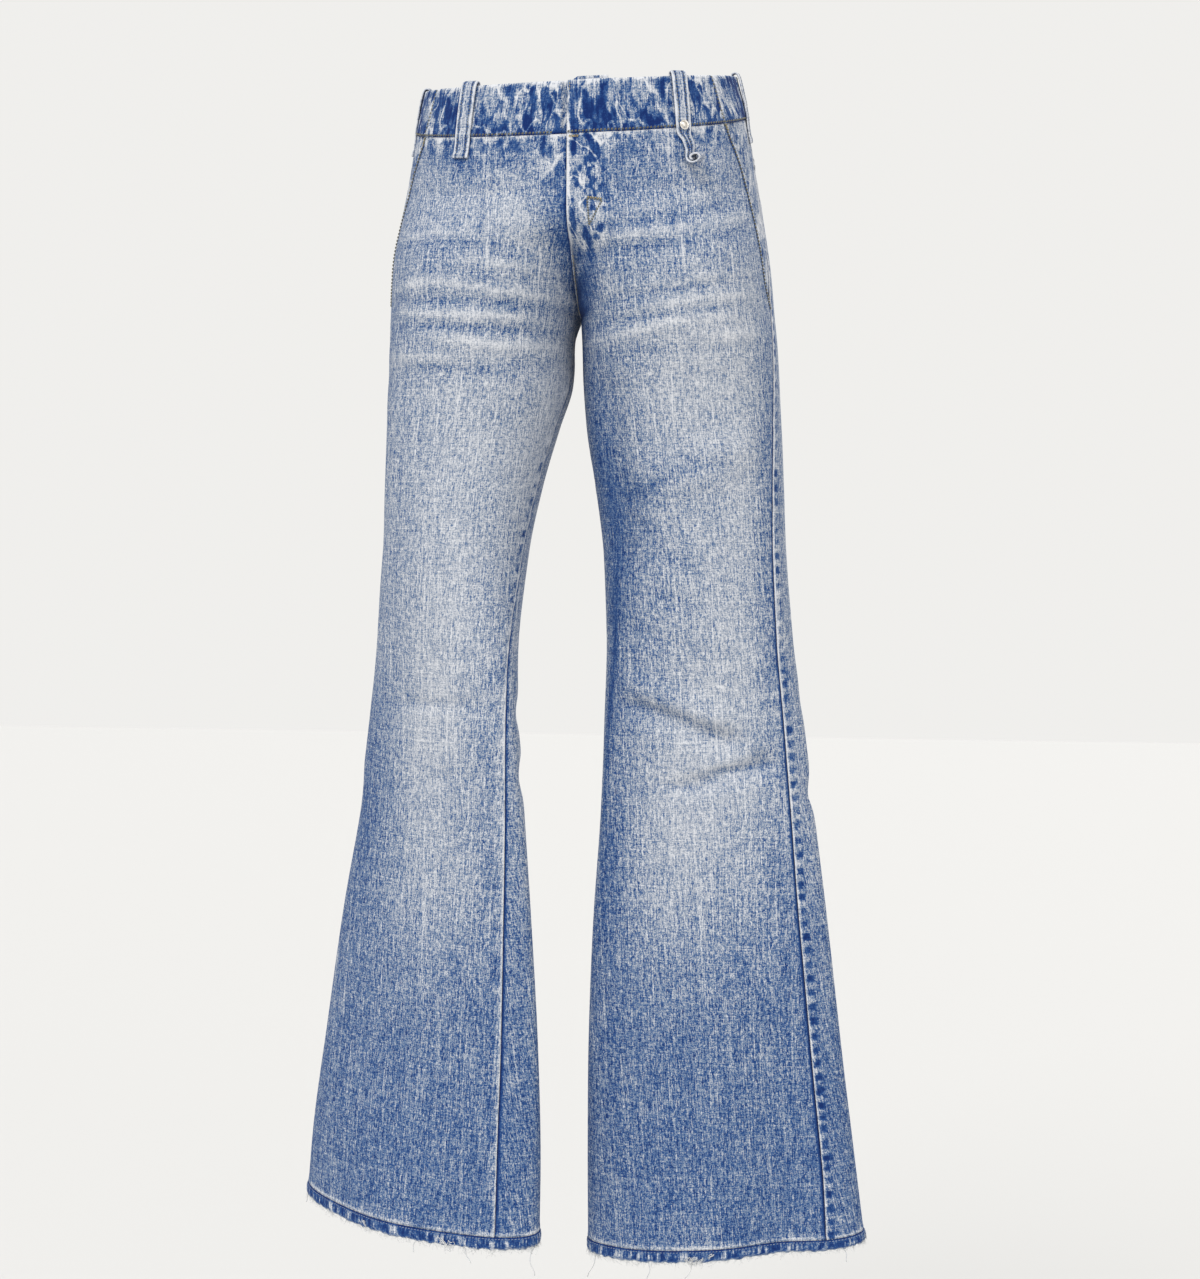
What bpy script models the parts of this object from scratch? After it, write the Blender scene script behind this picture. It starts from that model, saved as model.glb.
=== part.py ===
"""Low-rise bootcut jeans in their hollow, worn form.

Lengths are in millimetres here and become metres in add_solid. +Z is up, the front
faces -Y, and left and right are the wearer's, so the left leg is at +X. The origin is
the middle of the waist. A place on the cloth is given by its side, its drop (how far
below the waist's top edge) and its round: -1 at the front's inner edge, 0 at the
outseam, 1 at the back's inner edge. The inner edge is the rise above the crotch and
the inseam below it.
"""
import math

import bmesh
import bpy
import numpy as np

MM = 0.001

# Driving dimensions
WAISTBAND_HEIGHT = 36.0
CROTCH_DROP = 203.0
HEM_HEIGHT = 10.5
CLOTH = 1.4
GAP = 0.3
LEFT, RIGHT = 1, -1

# How far a piece's outer and inner faces lie outside the panels' outer face.
PANEL_FACES = (0.0, -CLOTH)
WAISTBAND_FACES = (0.8, -2.2)
HEM_FACES = (0.9, -2.3)
FACET_ROOM = 0.5

# The fly: the left edge laps over the right one, with its zip and shield behind it.
FLY_LIFT = 1.3
FLY_WIDTH = 36.0
FLY_EDGE = 12.0
FLY_LIFT_END = 110.0
FLY_FADE_END = 150.0
UNDERLAP_LENGTH = 34.0
UNDERLAP_SINK = 3.3
UNDERLAP_RISE = 3.0

# The belt loops
LOOP_WIDTH = 15.0
LOOP_CLOTH = 1.5

# The yoke seam falls from the outseam to the middle of the back.
YOKE_ROWS = 2
YOKE_BACK_DROP = 112.0

# The pocket mouth joins the outseam here. Its facing reaches under the front, and from
# the mouth it rises (mm per mm) to lie flush at the outseam.
POCKET_END_DROP = 196.0
FACING_TUCK = 15.0
FACING_END_DROP = 185.0
FACING_RISE = 0.12


def table(header, *rows):
    """A table's columns by name, each as an array."""
    return dict(zip(header.split(), np.array(rows, float).T))


# The trunk: how far each side reaches, the front and back, how square the section is,
# and how the section's plane tips (mm of height per mm along X and Y).
TRUNK = table(
    "drop  reach_left reach_right  front back  out_seam  square  tip_x tip_y",
    (0,    135.5, 136,   -100, 106,    0,  2.25,  0.034, 0.120),
    (36,   144,   144,   -104, 114,    0,  2.25,  0.030, 0.190),
    (80,   152,   152,   -107, 125,   -2,  2.3,   0.018, 0.120),
    (120,  159.5, 160,   -108, 131,   -6,  2.3,   0.008, 0.050),
    (160,  166,   166,   -107, 130,  -10,  2.3,   0.0,   0.0),
    (203,  170.2, 168.2, -101, 117,  -14,  2.2,   0.0,   0.0),
)

# How the trunk parts into two lobes above the crotch: the share of the leg's centre.
PARTING = table(
    "above_crotch  share",
    (0,   1.000),
    (5,   0.990),
    (15,  0.971),
    (30,  0.937),
    (55,  0.835),
    (80,  0.530),
    (110, 0.0),
)

# Each leg: its centre, half width, front and back, how far the section is skewed, where
# the two seams run (degrees from straight in and straight out, + to the back outside),
# how square the section is, and how its plane tips.
LEG_HEADER = "drop  centre half_width  front back  skew  in_seam out_seam  square  tip_x tip_y"
LEG_LEFT = table(
    LEG_HEADER,
    (203,   85.2, 85.0,  -101, 117,   0,    0, -14,  2.2,  0.0, 0.0),
    (225,   87.0, 85.6,   -95, 108,   0,   -2, -16,  2.2,  0.0, 0.0),
    (260,   88.6, 86.3,   -84, 92,    0,   -4, -19,  2.15, 0.0, 0.0),
    (300,   91.3, 85.9,   -75, 77,    0,   -5, -23,  2.1,  0.0, 0.0),
    (350,   96.3, 83.3,   -67, 67,    0,   -8, -27,  2.05, 0.0, 0.0),
    (410,  101.2, 81.1,   -60, 57,    0,  -11, -30,  2.0,  0.0, 0.0),
    (480,  105.7, 82.6,   -51, 44,    0,  -17, -33,  2.0,  0.0, 0.0),
    (550,  109.7, 88.3,   -41, 32,   -1,  -22, -36,  2.0,  0.0, 0.0),
    (640,  113.5, 95.7,   -33, 24,   -3,  -28, -38,  2.0,  0.0, 0.0),
    (740,  116.4, 105.6,  -31, 24,   -4,  -32, -40,  2.0,  0.0, 0.0),
    (850,  120.7, 114.4,  -34, 29,   -5,  -35, -40,  2.0,  0.0, 0.0),
    (950,  126.3, 121.2,  -38, 37,   -6,  -36, -40,  2.0,  0.03, 0.0),
    (1040, 131.7, 126.5,  -44, 47,   -7,  -37, -42,  2.0,  0.09, 0.0),
)
LEG_RIGHT = table(
    LEG_HEADER,
    (203,   84.2, 84.0,  -101, 117,   0,    0, -14,  2.2,  0.0, 0.0),
    (225,   87.4, 81.9,   -97, 109,   0,    4, -11,  2.2,  0.0, 0.0),
    (260,   89.8, 81.9,   -90, 97,    2,    9, -6,   2.15, 0.0, 0.0),
    (300,   96.4, 76.9,   -85, 85,    4,   12, 0,    2.1,  0.0, 0.0),
    (350,  104.8, 71.4,   -81, 78,    8,   14, 7,    2.05, 0.0, 0.0),
    (410,  112.3, 67.3,   -78, 71,   14,   16, 15,   2.0,  0.0, 0.0),
    (480,  119.2, 68.0,   -75, 60,   28,   22, 24,   2.0,  0.0, 0.0),
    (550,  122.6, 72.8,   -71, 50,   41,   29, 31,   2.0,  0.0, 0.0),
    (640,  126.1, 81.7,   -66, 44,   50,   36, 36,   2.0,  0.0, 0.0),
    (740,  132.3, 94.1,   -64, 42,   54,   42, 40,   2.0,  0.0, 0.0),
    (850,  138.0, 105.3,  -66, 43,   53,   46, 42,   2.0,  0.0, 0.0),
    (950,  144.4, 113.7,  -70, 47,   49,   48, 42,   2.0,  0.01, 0.04),
    (1018, 148.5, 116.9,  -75, 53,   48,   48, 42,   2.0,  0.03, 0.13),
)
LEGS = {LEFT: LEG_LEFT, RIGHT: LEG_RIGHT}
REACH = {LEFT: "reach_left", RIGHT: "reach_right"}

# The slanted pocket mouth, which also runs up through the waistband as its seam.
POCKET_MOUTH = table(
    "drop  round",
    (0,    -0.345),
    (36,   -0.300),
    (74,   -0.215),
    (102,  -0.165),
    (130,  -0.120),
    (152,  -0.090),
    (174,  -0.060),
    (196,  0.0),
)


def smooth(at, places, values):
    """A smooth curve through a table's column that never overshoots its values."""
    steps = np.diff(places)
    slopes = np.diff(values) / steps
    before, after = slopes[:-1], slopes[1:]
    same_way = before * after > 0
    total = np.where(same_way, before + after, 1.0)
    inner = np.where(same_way, 2.0 * before * after / total, 0.0)
    tangents = np.concatenate(([slopes[0]], inner, [slopes[-1]]))
    at = np.clip(at, places[0], places[-1])
    k = np.clip(np.searchsorted(places, at, side="right") - 1, 0, len(steps) - 1)
    t = (at - places[k]) / steps[k]
    rise = values[k + 1] - values[k]
    start = tangents[k] * steps[k]
    end = tangents[k + 1] * steps[k]
    return values[k] + t * (start + t * (3 * rise - 2 * start - end + t * (start + end - 2 * rise)))


def read(columns, name, drop):
    return smooth(drop, columns["drop"], columns[name])


def section(side, drop):
    """Every measure of one side's section at each drop, from the trunk or the leg table."""
    leg = LEGS[side]
    above = drop < CROTCH_DROP
    got = {name: read(leg, name, drop) for name in leg if name != "drop"}
    for name in ("front", "back", "out_seam", "square", "tip_x", "tip_y"):
        got[name] = np.where(above, read(TRUNK, name, drop), got[name])
    share = smooth(CROTCH_DROP - drop, PARTING["above_crotch"], PARTING["share"])
    centre = leg["centre"][0] * share
    got["half_width"] = np.where(above, read(TRUNK, REACH[side], drop) - centre, got["half_width"])
    got["centre"] = np.where(above, centre, got["centre"])
    # The rise lies half a gap from the middle plane.
    past = np.clip((centre - GAP / 2) / got["half_width"], -1.0, 1.0)
    rise_angle = np.arccos(-np.sign(past) * np.abs(past) ** (got["square"] / 2))
    turn = np.radians(got["in_seam"])
    got["start"] = np.where(above, -rise_angle, turn - math.pi)
    got["end"] = np.where(above, rise_angle, turn + math.pi)
    got["outseam"] = np.radians(got["out_seam"])
    got["skew"] = np.radians(got["skew"])
    return got


def flat_power(value, square):
    return np.sign(value) * np.abs(value) ** (2.0 / square)


def section_xy(got, angle):
    """A point of a section, with x outwards from the middle plane."""
    x = got["centre"] + got["half_width"] * flat_power(np.cos(angle), got["square"])
    depth = (got["back"] - got["front"]) / 2
    y = (got["back"] + got["front"]) / 2 + depth * flat_power(np.sin(angle + got["skew"]), got["square"])
    return x, y


ARC_STEPS = 64
BEND_WEIGHT = 36.0


def angle_at(got, part_round, shift):
    """The angle at a share of the front or back half, and then a shift in mm to the back.

    Shares are measured by length and by how far the cloth bends, so that tight ends of
    a section get more columns.
    """
    steps = np.linspace(0, 1, ARC_STEPS + 1)
    start, outseam, end = (got[name][:, None] for name in ("start", "outseam", "end"))
    angles = np.hstack([start + (outseam - start) * steps, outseam + (end - outseam) * steps[1:]])
    x, y = section_xy({name: value[:, None] for name, value in got.items()}, angles)
    lengths = np.hypot(np.diff(x), np.diff(y))
    heading = np.unwrap(np.arctan2(np.diff(y), np.diff(x)), axis=1)
    bends = np.pad(np.abs(np.diff(heading, axis=1)), ((0, 0), (1, 1)))
    weights = lengths + BEND_WEIGHT * (bends[:, :-1] + bends[:, 1:]) / 2
    weight_sum = np.pad(np.cumsum(weights, axis=1), ((0, 0), (1, 0)))
    length_sum = np.pad(np.cumsum(lengths, axis=1), ((0, 0), (1, 0)))
    middle, last = weight_sum[:, ARC_STEPS], weight_sum[:, -1]
    wanted = np.where(part_round < 0, (part_round + 1) * middle, middle + part_round * (last - middle))
    place = between(weight_sum, length_sum, wanted) + shift
    return between(length_sum, angles, place)


def between(places, values, wanted):
    """Each row's value at its wanted place."""
    row = np.arange(len(wanted))
    k = np.clip((places <= wanted[:, None]).sum(axis=1) - 1, 0, places.shape[1] - 2)
    share = (wanted - places[row, k]) / (places[row, k + 1] - places[row, k])
    return values[row, k] + share * (values[row, k + 1] - values[row, k])


def body_point(side, drop, part_round, shift=0.0):
    """Points on the body of the cloth before its folds; past its ends it runs on straight."""
    drop, part_round, shift = np.broadcast_arrays(
        np.asarray(drop, float), np.asarray(part_round, float), np.asarray(shift, float))
    shape = drop.shape
    drop, part_round, shift = drop.ravel(), part_round.ravel(), shift.ravel()
    inside = np.clip(drop, 0.0, LEGS[side]["drop"][-1])
    near = np.clip(inside + np.where(drop < inside, 1.0, -1.0), 0.0, None)
    points = section_point(side, inside, part_round, shift)
    past = np.abs(drop - inside)
    if past.any():
        points = points + (points - section_point(side, near, part_round, shift)) * past[:, None]
    return points.reshape(shape + (3,))


def section_point(side, drop, part_round, shift):
    got = section(side, drop)
    x, y = section_xy(got, angle_at(got, part_round, shift))
    pivot = np.where(drop < CROTCH_DROP, 0.0, got["centre"])
    z = -drop + got["tip_x"] * (x - pivot) * side + got["tip_y"] * y
    return np.stack([x * side, y, z], axis=-1)


def outward(side, drop, part_round, shift=0.0):
    """The unit direction straight out of the cloth."""
    part_round = np.asarray(part_round, float)
    across = (body_point(side, drop, np.minimum(part_round + 0.01, 1.0), shift)
              - body_point(side, drop, np.maximum(part_round - 0.01, -1.0), shift))
    down = (body_point(side, np.asarray(drop) + 1.0, part_round, shift)
            - body_point(side, np.asarray(drop) - 1.0, part_round, shift))
    normal = -side * np.cross(across, down)
    return normal / np.linalg.norm(normal, axis=-1, keepdims=True)


# The largest folds: soft troughs (-) and ridges (+) from one place on the cloth to another.
FOLDS = table(
    "side  drop_a round_a height_a  drop_b round_b height_b  width",
    # front of the left leg: across the knee, the inner thigh and the hem's wave
    (LEFT,  526, -0.57, 3.0,    554, -0.27, 3.5,   13),
    (LEFT,  542, -0.54, -2.5,   571, -0.22, -4.0,  11),
    (LEFT,  612, -0.36, -2.0,   592, -0.09, -4.0,  11),
    (LEFT,  274, -0.69, -5.0,   398, -0.68, -6.0,  24),
    (LEFT,  342, -0.50, 3.0,    318, -0.20, 4.0,   18),
    (LEFT,  1040, -0.48, 4.0,   900, -0.48, 0.0,   40),
    (LEFT,  1040, -0.13, -16.0, 800, -0.16, 0.0,   38),
    # front of the right leg: the thigh's long ridge, the knee and the hem's wave
    (RIGHT, 290, -0.20, 2.0,    600, -0.25, 2.5,   26),
    (RIGHT, 542, -0.85, -2.0,   545, -0.50, -1.0,  13),
    (RIGHT, 1018, -0.68, 7.0,   860, -0.66, 0.0,   55),
    # under the seat and behind each knee
    (LEFT,  222, 0.92, -5.0,    250, 0.35, -2.0,   15),
    (RIGHT, 222, 0.92, -5.0,    246, 0.38, -2.0,   15),
    (LEFT,  560, 0.75, -3.5,    540, 0.30, -3.0,   13),
    (LEFT,  606, 0.70, -3.0,    622, 0.25, -4.0,   14),
    (RIGHT, 548, 0.78, -3.0,    566, 0.30, -4.0,   13),
    (RIGHT, 604, 0.72, -4.0,    586, 0.28, -2.5,   14),
)


def fold_height(side, points):
    """How far the folds push these points out."""
    total = np.zeros(points.shape[:-1])
    for k in np.flatnonzero(FOLDS["side"] == side):
        fold = {name: values[k] for name, values in FOLDS.items()}
        start = body_point(side, fold["drop_a"], fold["round_a"])
        run = body_point(side, fold["drop_b"], fold["round_b"]) - start
        along = np.clip((points - start) @ run / (run @ run), 0.0, 1.0)
        distance = np.linalg.norm(points - start - along[..., None] * run, axis=-1)
        height = fold["height_a"] + along * (fold["height_b"] - fold["height_a"])
        total = total + height * np.exp(-(distance / fold["width"]) ** 2)
    return total


def cloth_point(side, drop, part_round, out=0.0, shift=0.0):
    """Points on the folded cloth, or a distance outside it."""
    points = body_point(side, drop, part_round, shift)
    lift = fold_height(side, points) + out
    return points + outward(side, drop, part_round, shift) * lift[..., None]


def step_down(value, start, end):
    """1 up to the start, easing to 0 at the end."""
    t = np.clip((end - value) / (end - start), 0.0, 1.0)
    return t * t * (3 - 2 * t)


def fly_lift(drop, from_middle):
    """How far the left front stands over the right one, near the middle."""
    across = step_down(from_middle, FLY_WIDTH, FLY_WIDTH + FLY_EDGE)
    return FLY_LIFT * across * step_down(drop, FLY_LIFT_END, FLY_FADE_END)


# Meshes

def material(name, colour, roughness=0.9, metallic=0.0):
    made = bpy.data.materials.new(name)
    made.use_nodes = True
    shader = made.node_tree.nodes["Principled BSDF"]
    shader.inputs["Base Color"].default_value = (*colour, 1.0)
    shader.inputs["Roughness"].default_value = roughness
    shader.inputs["Metallic"].default_value = metallic
    return made


DENIM = (0.30, 0.38, 0.53)
PALE_DENIM = (0.48, 0.53, 0.62)
THREAD = (0.72, 0.72, 0.68)
BRASS = (0.60, 0.48, 0.28)
NICKEL = (0.75, 0.72, 0.68)


def add_solid(name, points, faces, colour, roughness=0.9, metallic=0.0):
    """One named object from points in millimetres, its faces turned outwards."""
    mesh = bpy.data.meshes.new(name)
    mesh.from_pydata((np.asarray(points) * MM).tolist(), [], faces)
    form = bmesh.new()
    form.from_mesh(mesh)
    bmesh.ops.recalc_face_normals(form, faces=form.faces)
    form.to_mesh(mesh)
    form.free()
    mesh.materials.append(material(name, colour, roughness, metallic))
    mesh.shade_smooth()
    mesh.set_sharp_from_angle(angle=math.radians(50))
    made = bpy.data.objects.new(name, mesh)
    bpy.context.collection.objects.link(made)
    return made


def wall(name, outer, inner, colour, ring=False, **finish):
    """A solid between two grids of points: rows down the cloth, columns across it."""
    rows, columns = outer.shape[:2]
    points = np.concatenate([outer.reshape(-1, 3), inner.reshape(-1, 3)])
    inner_start = rows * columns

    def quad(row_a, column_a, row_b, column_b):
        """The thin face that joins the two grids along one edge."""
        a, b = row_a * columns + column_a, row_b * columns + column_b
        return a, b, inner_start + b, inner_start + a

    faces = []
    spans = [(j, (j + 1) % columns) for j in range(columns if ring else columns - 1)]
    for i in range(rows - 1):
        for j, k in spans:
            a, b, c, d = i * columns + j, i * columns + k, (i + 1) * columns + k, (i + 1) * columns + j
            faces.append((a, b, c, d))
            faces.append((inner_start + d, inner_start + c, inner_start + b, inner_start + a))
        if not ring:
            faces.append(quad(i + 1, 0, i, 0))
            faces.append(quad(i, columns - 1, i + 1, columns - 1))
    for j, k in spans:
        faces.append(quad(0, j, 0, k))
        faces.append(quad(rows - 1, k, rows - 1, j))
    return add_solid(name, points, faces, colour, **finish)


def strap(name, centre, thickness, colour, **finish):
    """A solid of even thickness about a grid of points."""
    normal = np.cross(np.gradient(centre, axis=0), np.gradient(centre, axis=1))
    normal = normal / np.linalg.norm(normal, axis=-1, keepdims=True) * thickness / 2
    return wall(name, centre + normal, centre - normal, colour, **finish)


# Panels

# The longest steps between two rows, above the crotch and below it.
TRUNK_ROW, LEG_ROW = 16.0, 40.0


def steps_from_crotch(limit, longest):
    """Growing distances from the crotch."""
    reached = []
    distance, step = 0.0, 2.0
    while distance < limit - 0.6 * step:
        reached.append(distance)
        distance += step
        step = min(2.0 + 0.3 * distance, longest)
    return np.array(reached + [limit])


def upper_rows():
    """Drops from the waistband's seam to the crotch, which every panel shares at its seams."""
    top = WAISTBAND_HEIGHT + GAP
    return CROTCH_DROP - steps_from_crotch(CROTCH_DROP - top, TRUNK_ROW)[::-1]


def lower_rows(side):
    """Drops from below the crotch to the hem."""
    bottom = hem_drop(side) - HEM_HEIGHT - GAP
    return CROTCH_DROP + steps_from_crotch(bottom - CROTCH_DROP, LEG_ROW)[1:]


def pocket_round(drop):
    """Where the pocket mouth lies, between the front's inner edge and the outseam."""
    return read(POCKET_MOUTH, "round", np.minimum(drop, POCKET_END_DROP))


def back_rows(part_round):
    """The shared rows, fanned out across the back so that one of them is the yoke's seam."""
    rows = upper_rows()[:, None]
    top, side_seam = rows[0], rows[YOKE_ROWS]
    seam = side_seam + (YOKE_BACK_DROP - side_seam) * part_round
    over = top + (rows - top) * (seam - top) / (side_seam - top)
    under = CROTCH_DROP - (CROTCH_DROP - rows) * (CROTCH_DROP - seam) / (CROTCH_DROP - side_seam)
    return np.where(rows < side_seam, over, under)


def hem_drop(side):
    return LEGS[side]["drop"][-1]


def seam_shift(drop, direction):
    """Half the seam's gap: the rise has its own, in the shape itself."""
    return np.where(drop >= CROTCH_DROP, direction * GAP / 2, 0.0)


def faces_of(side, drops, rounds, shifts, faces, lift=0.0):
    """The outer and inner grids of one piece."""
    outer = cloth_point(side, drops, rounds, faces[0] + lift, shifts)
    inner = cloth_point(side, drops, rounds, faces[1] + lift, shifts)
    return outer, inner


PANEL_COLUMNS = 13


def front(side, name):
    drops = np.concatenate([upper_rows(), lower_rows(side)])[:, None]
    share = np.linspace(0, 1, PANEL_COLUMNS)
    last = np.where(drops < POCKET_END_DROP, pocket_round(drops), 0.0)
    rounds = -1 + (last + 1) * share
    shifts = seam_shift(drops, 1) * (1 - share) - GAP / 2 * share
    drops = np.broadcast_to(drops, rounds.shape)
    from_middle = body_point(side, drops, rounds, shifts)[..., 0] * side
    lift = fly_lift(drops, from_middle) if side == LEFT else 0.0
    wall(name, *faces_of(side, drops, rounds, shifts, PANEL_FACES, lift), DENIM)


def back(side, name):
    rounds = np.linspace(0, 1, PANEL_COLUMNS)
    upper = back_rows(rounds)[YOKE_ROWS:]
    upper[0] += GAP
    drops = np.concatenate([upper, lower_rows(side)[:, None] + 0 * rounds])
    rounds = np.broadcast_to(rounds, drops.shape)
    shifts = GAP / 2 * (1 - rounds) + seam_shift(drops, -1) * rounds
    wall(name, *faces_of(side, drops, rounds, shifts, PANEL_FACES), DENIM)


def yoke(side, name):
    rounds = np.linspace(0, 1, PANEL_COLUMNS)
    drops = back_rows(rounds)[:YOKE_ROWS + 1]
    rounds = np.broadcast_to(rounds, drops.shape)
    shifts = GAP / 2 * (1 - rounds)
    wall(name, *faces_of(side, drops, rounds, shifts, PANEL_FACES), DENIM)


def pocket_facing(side, name):
    """The strip that shows in the pocket mouth: under the front, then up to the outseam."""
    drops = upper_rows()
    drops = drops[drops < FACING_END_DROP][:, None]
    mouth = pocket_round(drops)
    # Three columns under the front, then three more over the visible strip.
    rounds = mouth * np.array([1, 1, 1, 0.66, 0.33, 0])
    shifts = np.array([-FACING_TUCK, -FACING_TUCK / 2, 0, 0, 0, -GAP / 2]) + 0 * drops
    drops = np.broadcast_to(drops, rounds.shape)
    strip = np.linalg.norm(body_point(side, drops, mouth) - body_point(side, drops, rounds, shifts), axis=-1)
    strip[:, :3] = 0.0
    sunk = CLOTH + GAP + FACET_ROOM
    lift = np.minimum(FACING_RISE * strip, sunk) - sunk
    wall(name, *faces_of(side, drops, rounds, shifts, PANEL_FACES, lift), DENIM)


# Waistband

def band_drops():
    return np.array([0.0, WAISTBAND_HEIGHT / 2, WAISTBAND_HEIGHT])[:, None]


def waistband_left_front(name):
    drops = band_drops()
    share = np.linspace(0, 1, 9)
    rounds = -1 + (pocket_round(drops) + 1) * share
    shifts = -GAP / 2 * share
    drops = np.broadcast_to(drops, rounds.shape)
    lift = fly_lift(drops, body_point(LEFT, drops, rounds)[..., 0])
    wall(name, *faces_of(LEFT, drops, rounds, shifts, WAISTBAND_FACES, lift), PALE_DENIM)


def waistband_right_front(name):
    """From the right pocket to the middle, and on under the left side as the underlap."""
    drops = band_drops()
    share = np.linspace(0, 1, 9)[:-1]
    rounds = pocket_round(drops) + (-1 - pocket_round(drops)) * share
    shifts = -GAP / 2 * (1 - share) * np.ones_like(drops)
    wide = np.broadcast_to(drops, rounds.shape)
    outer, inner = faces_of(RIGHT, wide, rounds, shifts, WAISTBAND_FACES)
    # The last two columns before the middle step in, to pass behind the left side.
    sink = np.array([0.0, UNDERLAP_SINK])
    before_middle = np.array([6.0, 1.5])
    step = [cloth_point(RIGHT, drops, -1.0, face - sink, before_middle) for face in WAISTBAND_FACES]
    lap = np.array([1.5, 9.0, 18.0, 26.0, UNDERLAP_LENGTH])
    # The underlap's top stands a little over the waist's edge.
    tall = drops - UNDERLAP_RISE * np.array([0.0, 0.8, 1.0, 1.0, 1.0]) * (drops == 0)
    under = [cloth_point(LEFT, tall, -1.0, face - UNDERLAP_SINK, lap) for face in WAISTBAND_FACES]
    outer = np.concatenate([outer, step[0], under[0]], axis=1)
    inner = np.concatenate([inner, step[1], under[1]], axis=1)
    wall(name, outer, inner, PALE_DENIM)


def waistband_back(name):
    drops = band_drops()
    share = np.linspace(0, 1, 15)
    grids = []
    for side in (LEFT, RIGHT):
        rounds = pocket_round(drops) + (1 - pocket_round(drops)) * share
        shifts = GAP / 2 * (1 - share) * np.ones_like(drops)
        wide = np.broadcast_to(drops, rounds.shape)
        grids.append(faces_of(side, wide, rounds, shifts, WAISTBAND_FACES))
    halves = zip(grids[0], grids[1])
    outer, inner = (np.concatenate([left[:, :-1], right[:, ::-1]], axis=1) for left, right in halves)
    wall(name, outer, inner, PALE_DENIM)


# Fly

# The shield lies a little deeper where the trunk parts towards the legs.
SHIELD_OUTLINE = table(
    "drop  right_reach left_reach  sink",
    (36.3,  20, 36,  0.0),
    (60,    19, 36,  0.0),
    (85,    17, 35,  0.3),
    (104,   14, 31,  1.0),
    (118,   9,  22,  1.8),
    (126,   4,  10,  2.4),
)


def across_middle(drop, across, out):
    """Points measured from the middle of the front, + to the left."""
    left = cloth_point(LEFT, drop, -1.0, out, np.maximum(across, 0.0))
    right = cloth_point(RIGHT, drop, -1.0, out, np.maximum(-across, 0.0))
    return np.where(across[..., None] >= 0, left, right)


def fly_shield(name):
    rows = SHIELD_OUTLINE
    share = np.linspace(0, 1, 7)
    across = -rows["right_reach"][:, None] + (rows["right_reach"] + rows["left_reach"])[:, None] * share
    drops = np.broadcast_to(rows["drop"][:, None], across.shape)
    top = -(CLOTH + GAP + FACET_ROOM) - rows["sink"][:, None]
    wall(name, across_middle(drops, across, top), across_middle(drops, across, top - CLOTH), DENIM)


# The zip tape and the waist hook, measured across from the middle and down.
ZIP_ACROSS = (5.0, 29.0)
ZIP_TOP, ZIP_BOTTOM = 37.0, 97.0
ZIP_TOP_FACE = FLY_LIFT - CLOTH - GAP - FACET_ROOM
ZIP_THICKNESS = 0.7
HOOK_ACROSS = (10.0, 24.0)
HOOK_TOP, HOOK_BOTTOM = 12.0, 24.0
HOOK_THICKNESS = 0.8


def zip_tape(name):
    """The closed zip, a plain tape between the fly and its shield."""
    drops = np.linspace(ZIP_TOP, ZIP_BOTTOM, 5)[:, None]
    across = np.linspace(*ZIP_ACROSS, 4) + 0 * drops
    drops = np.broadcast_to(drops, across.shape)
    faces = (ZIP_TOP_FACE, ZIP_TOP_FACE - ZIP_THICKNESS)
    wall(name, *(across_middle(drops, across, face) for face in faces), BRASS, metallic=0.8)


def waist_hook(name):
    """The flat hook that closes the waistband, between its left end and the underlap."""
    drops = np.array([HOOK_TOP, HOOK_BOTTOM])[:, None]
    across = np.linspace(*HOOK_ACROSS, 3) + 0 * drops
    drops = np.broadcast_to(drops, across.shape)
    top = FLY_LIFT + WAISTBAND_FACES[1] - GAP
    grids = (across_middle(drops, across, face) for face in (top, top - HOOK_THICKNESS))
    wall(name, *grids, NICKEL, roughness=0.3, metallic=1.0)


# Hems

HEM_COLUMNS = 54
HEM_WAVE = 0.5
# Down the band: how far it bulges out, and how much of the roping wave it takes.
HEM_ROWS = table("down bulge roping", (0.0, -0.2, 0.2), (0.5, 0.3, 0.6), (1.0, -0.1, 0.4))


def round_ring(count):
    """Shares round a whole leg, from the inseam and back to it."""
    share = np.arange(count) / count
    return -1 + 2 * share


def hem(side, name):
    """The turned-up band, its edge roped into small waves."""
    rounds = round_ring(HEM_COLUMNS)
    wave = HEM_WAVE * np.where(np.arange(HEM_COLUMNS) % 2, 1, -1)
    top = hem_drop(side) - HEM_HEIGHT
    drops = top + HEM_HEIGHT * HEM_ROWS["down"][:, None] + 0 * rounds
    rounds = np.broadcast_to(rounds, drops.shape)
    bulge = HEM_ROWS["bulge"][:, None] + HEM_ROWS["roping"][:, None] * wave
    outer = cloth_point(side, drops, rounds, HEM_FACES[0] + bulge)
    wall(name, outer, cloth_point(side, drops, rounds, HEM_FACES[1]), PALE_DENIM, ring=True)


# Belt loops

# Where the strap's middle line runs: how far below the waist's edge, and how far out. It
# comes up the inside, turns over the edge and goes down the outside.
LOOP_PATH = table(
    "reach out",
    (9,    -3.7),
    (1,    -3.7),
    (-1.4, -3.4),
    (-2.9, -2.2),
    (-3.3, -0.6),
    (-2.8, 1.0),
    (-1.0, 2.4),
    (2,    3.0),
    (10,   3.2),
    (20,   3.0),
    (30,   2.5),
    (36.5, 2.2),
    (41,   1.5),
)
LOOP_END = table("reach out", (48, 1.3), (56, 1.3))
# The loose end of the left front loop leaves the cloth and curls forward.
LOOSE_END = table("reach out", (47, 1.5), (54, 1.5))
CURL_CENTRE = (57.5, 5.4)
CURL_RADIUS = (3.9, 1.7)
CURL_TURN = (180.0, 560.0)
CURL_STEPS = 11


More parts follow.
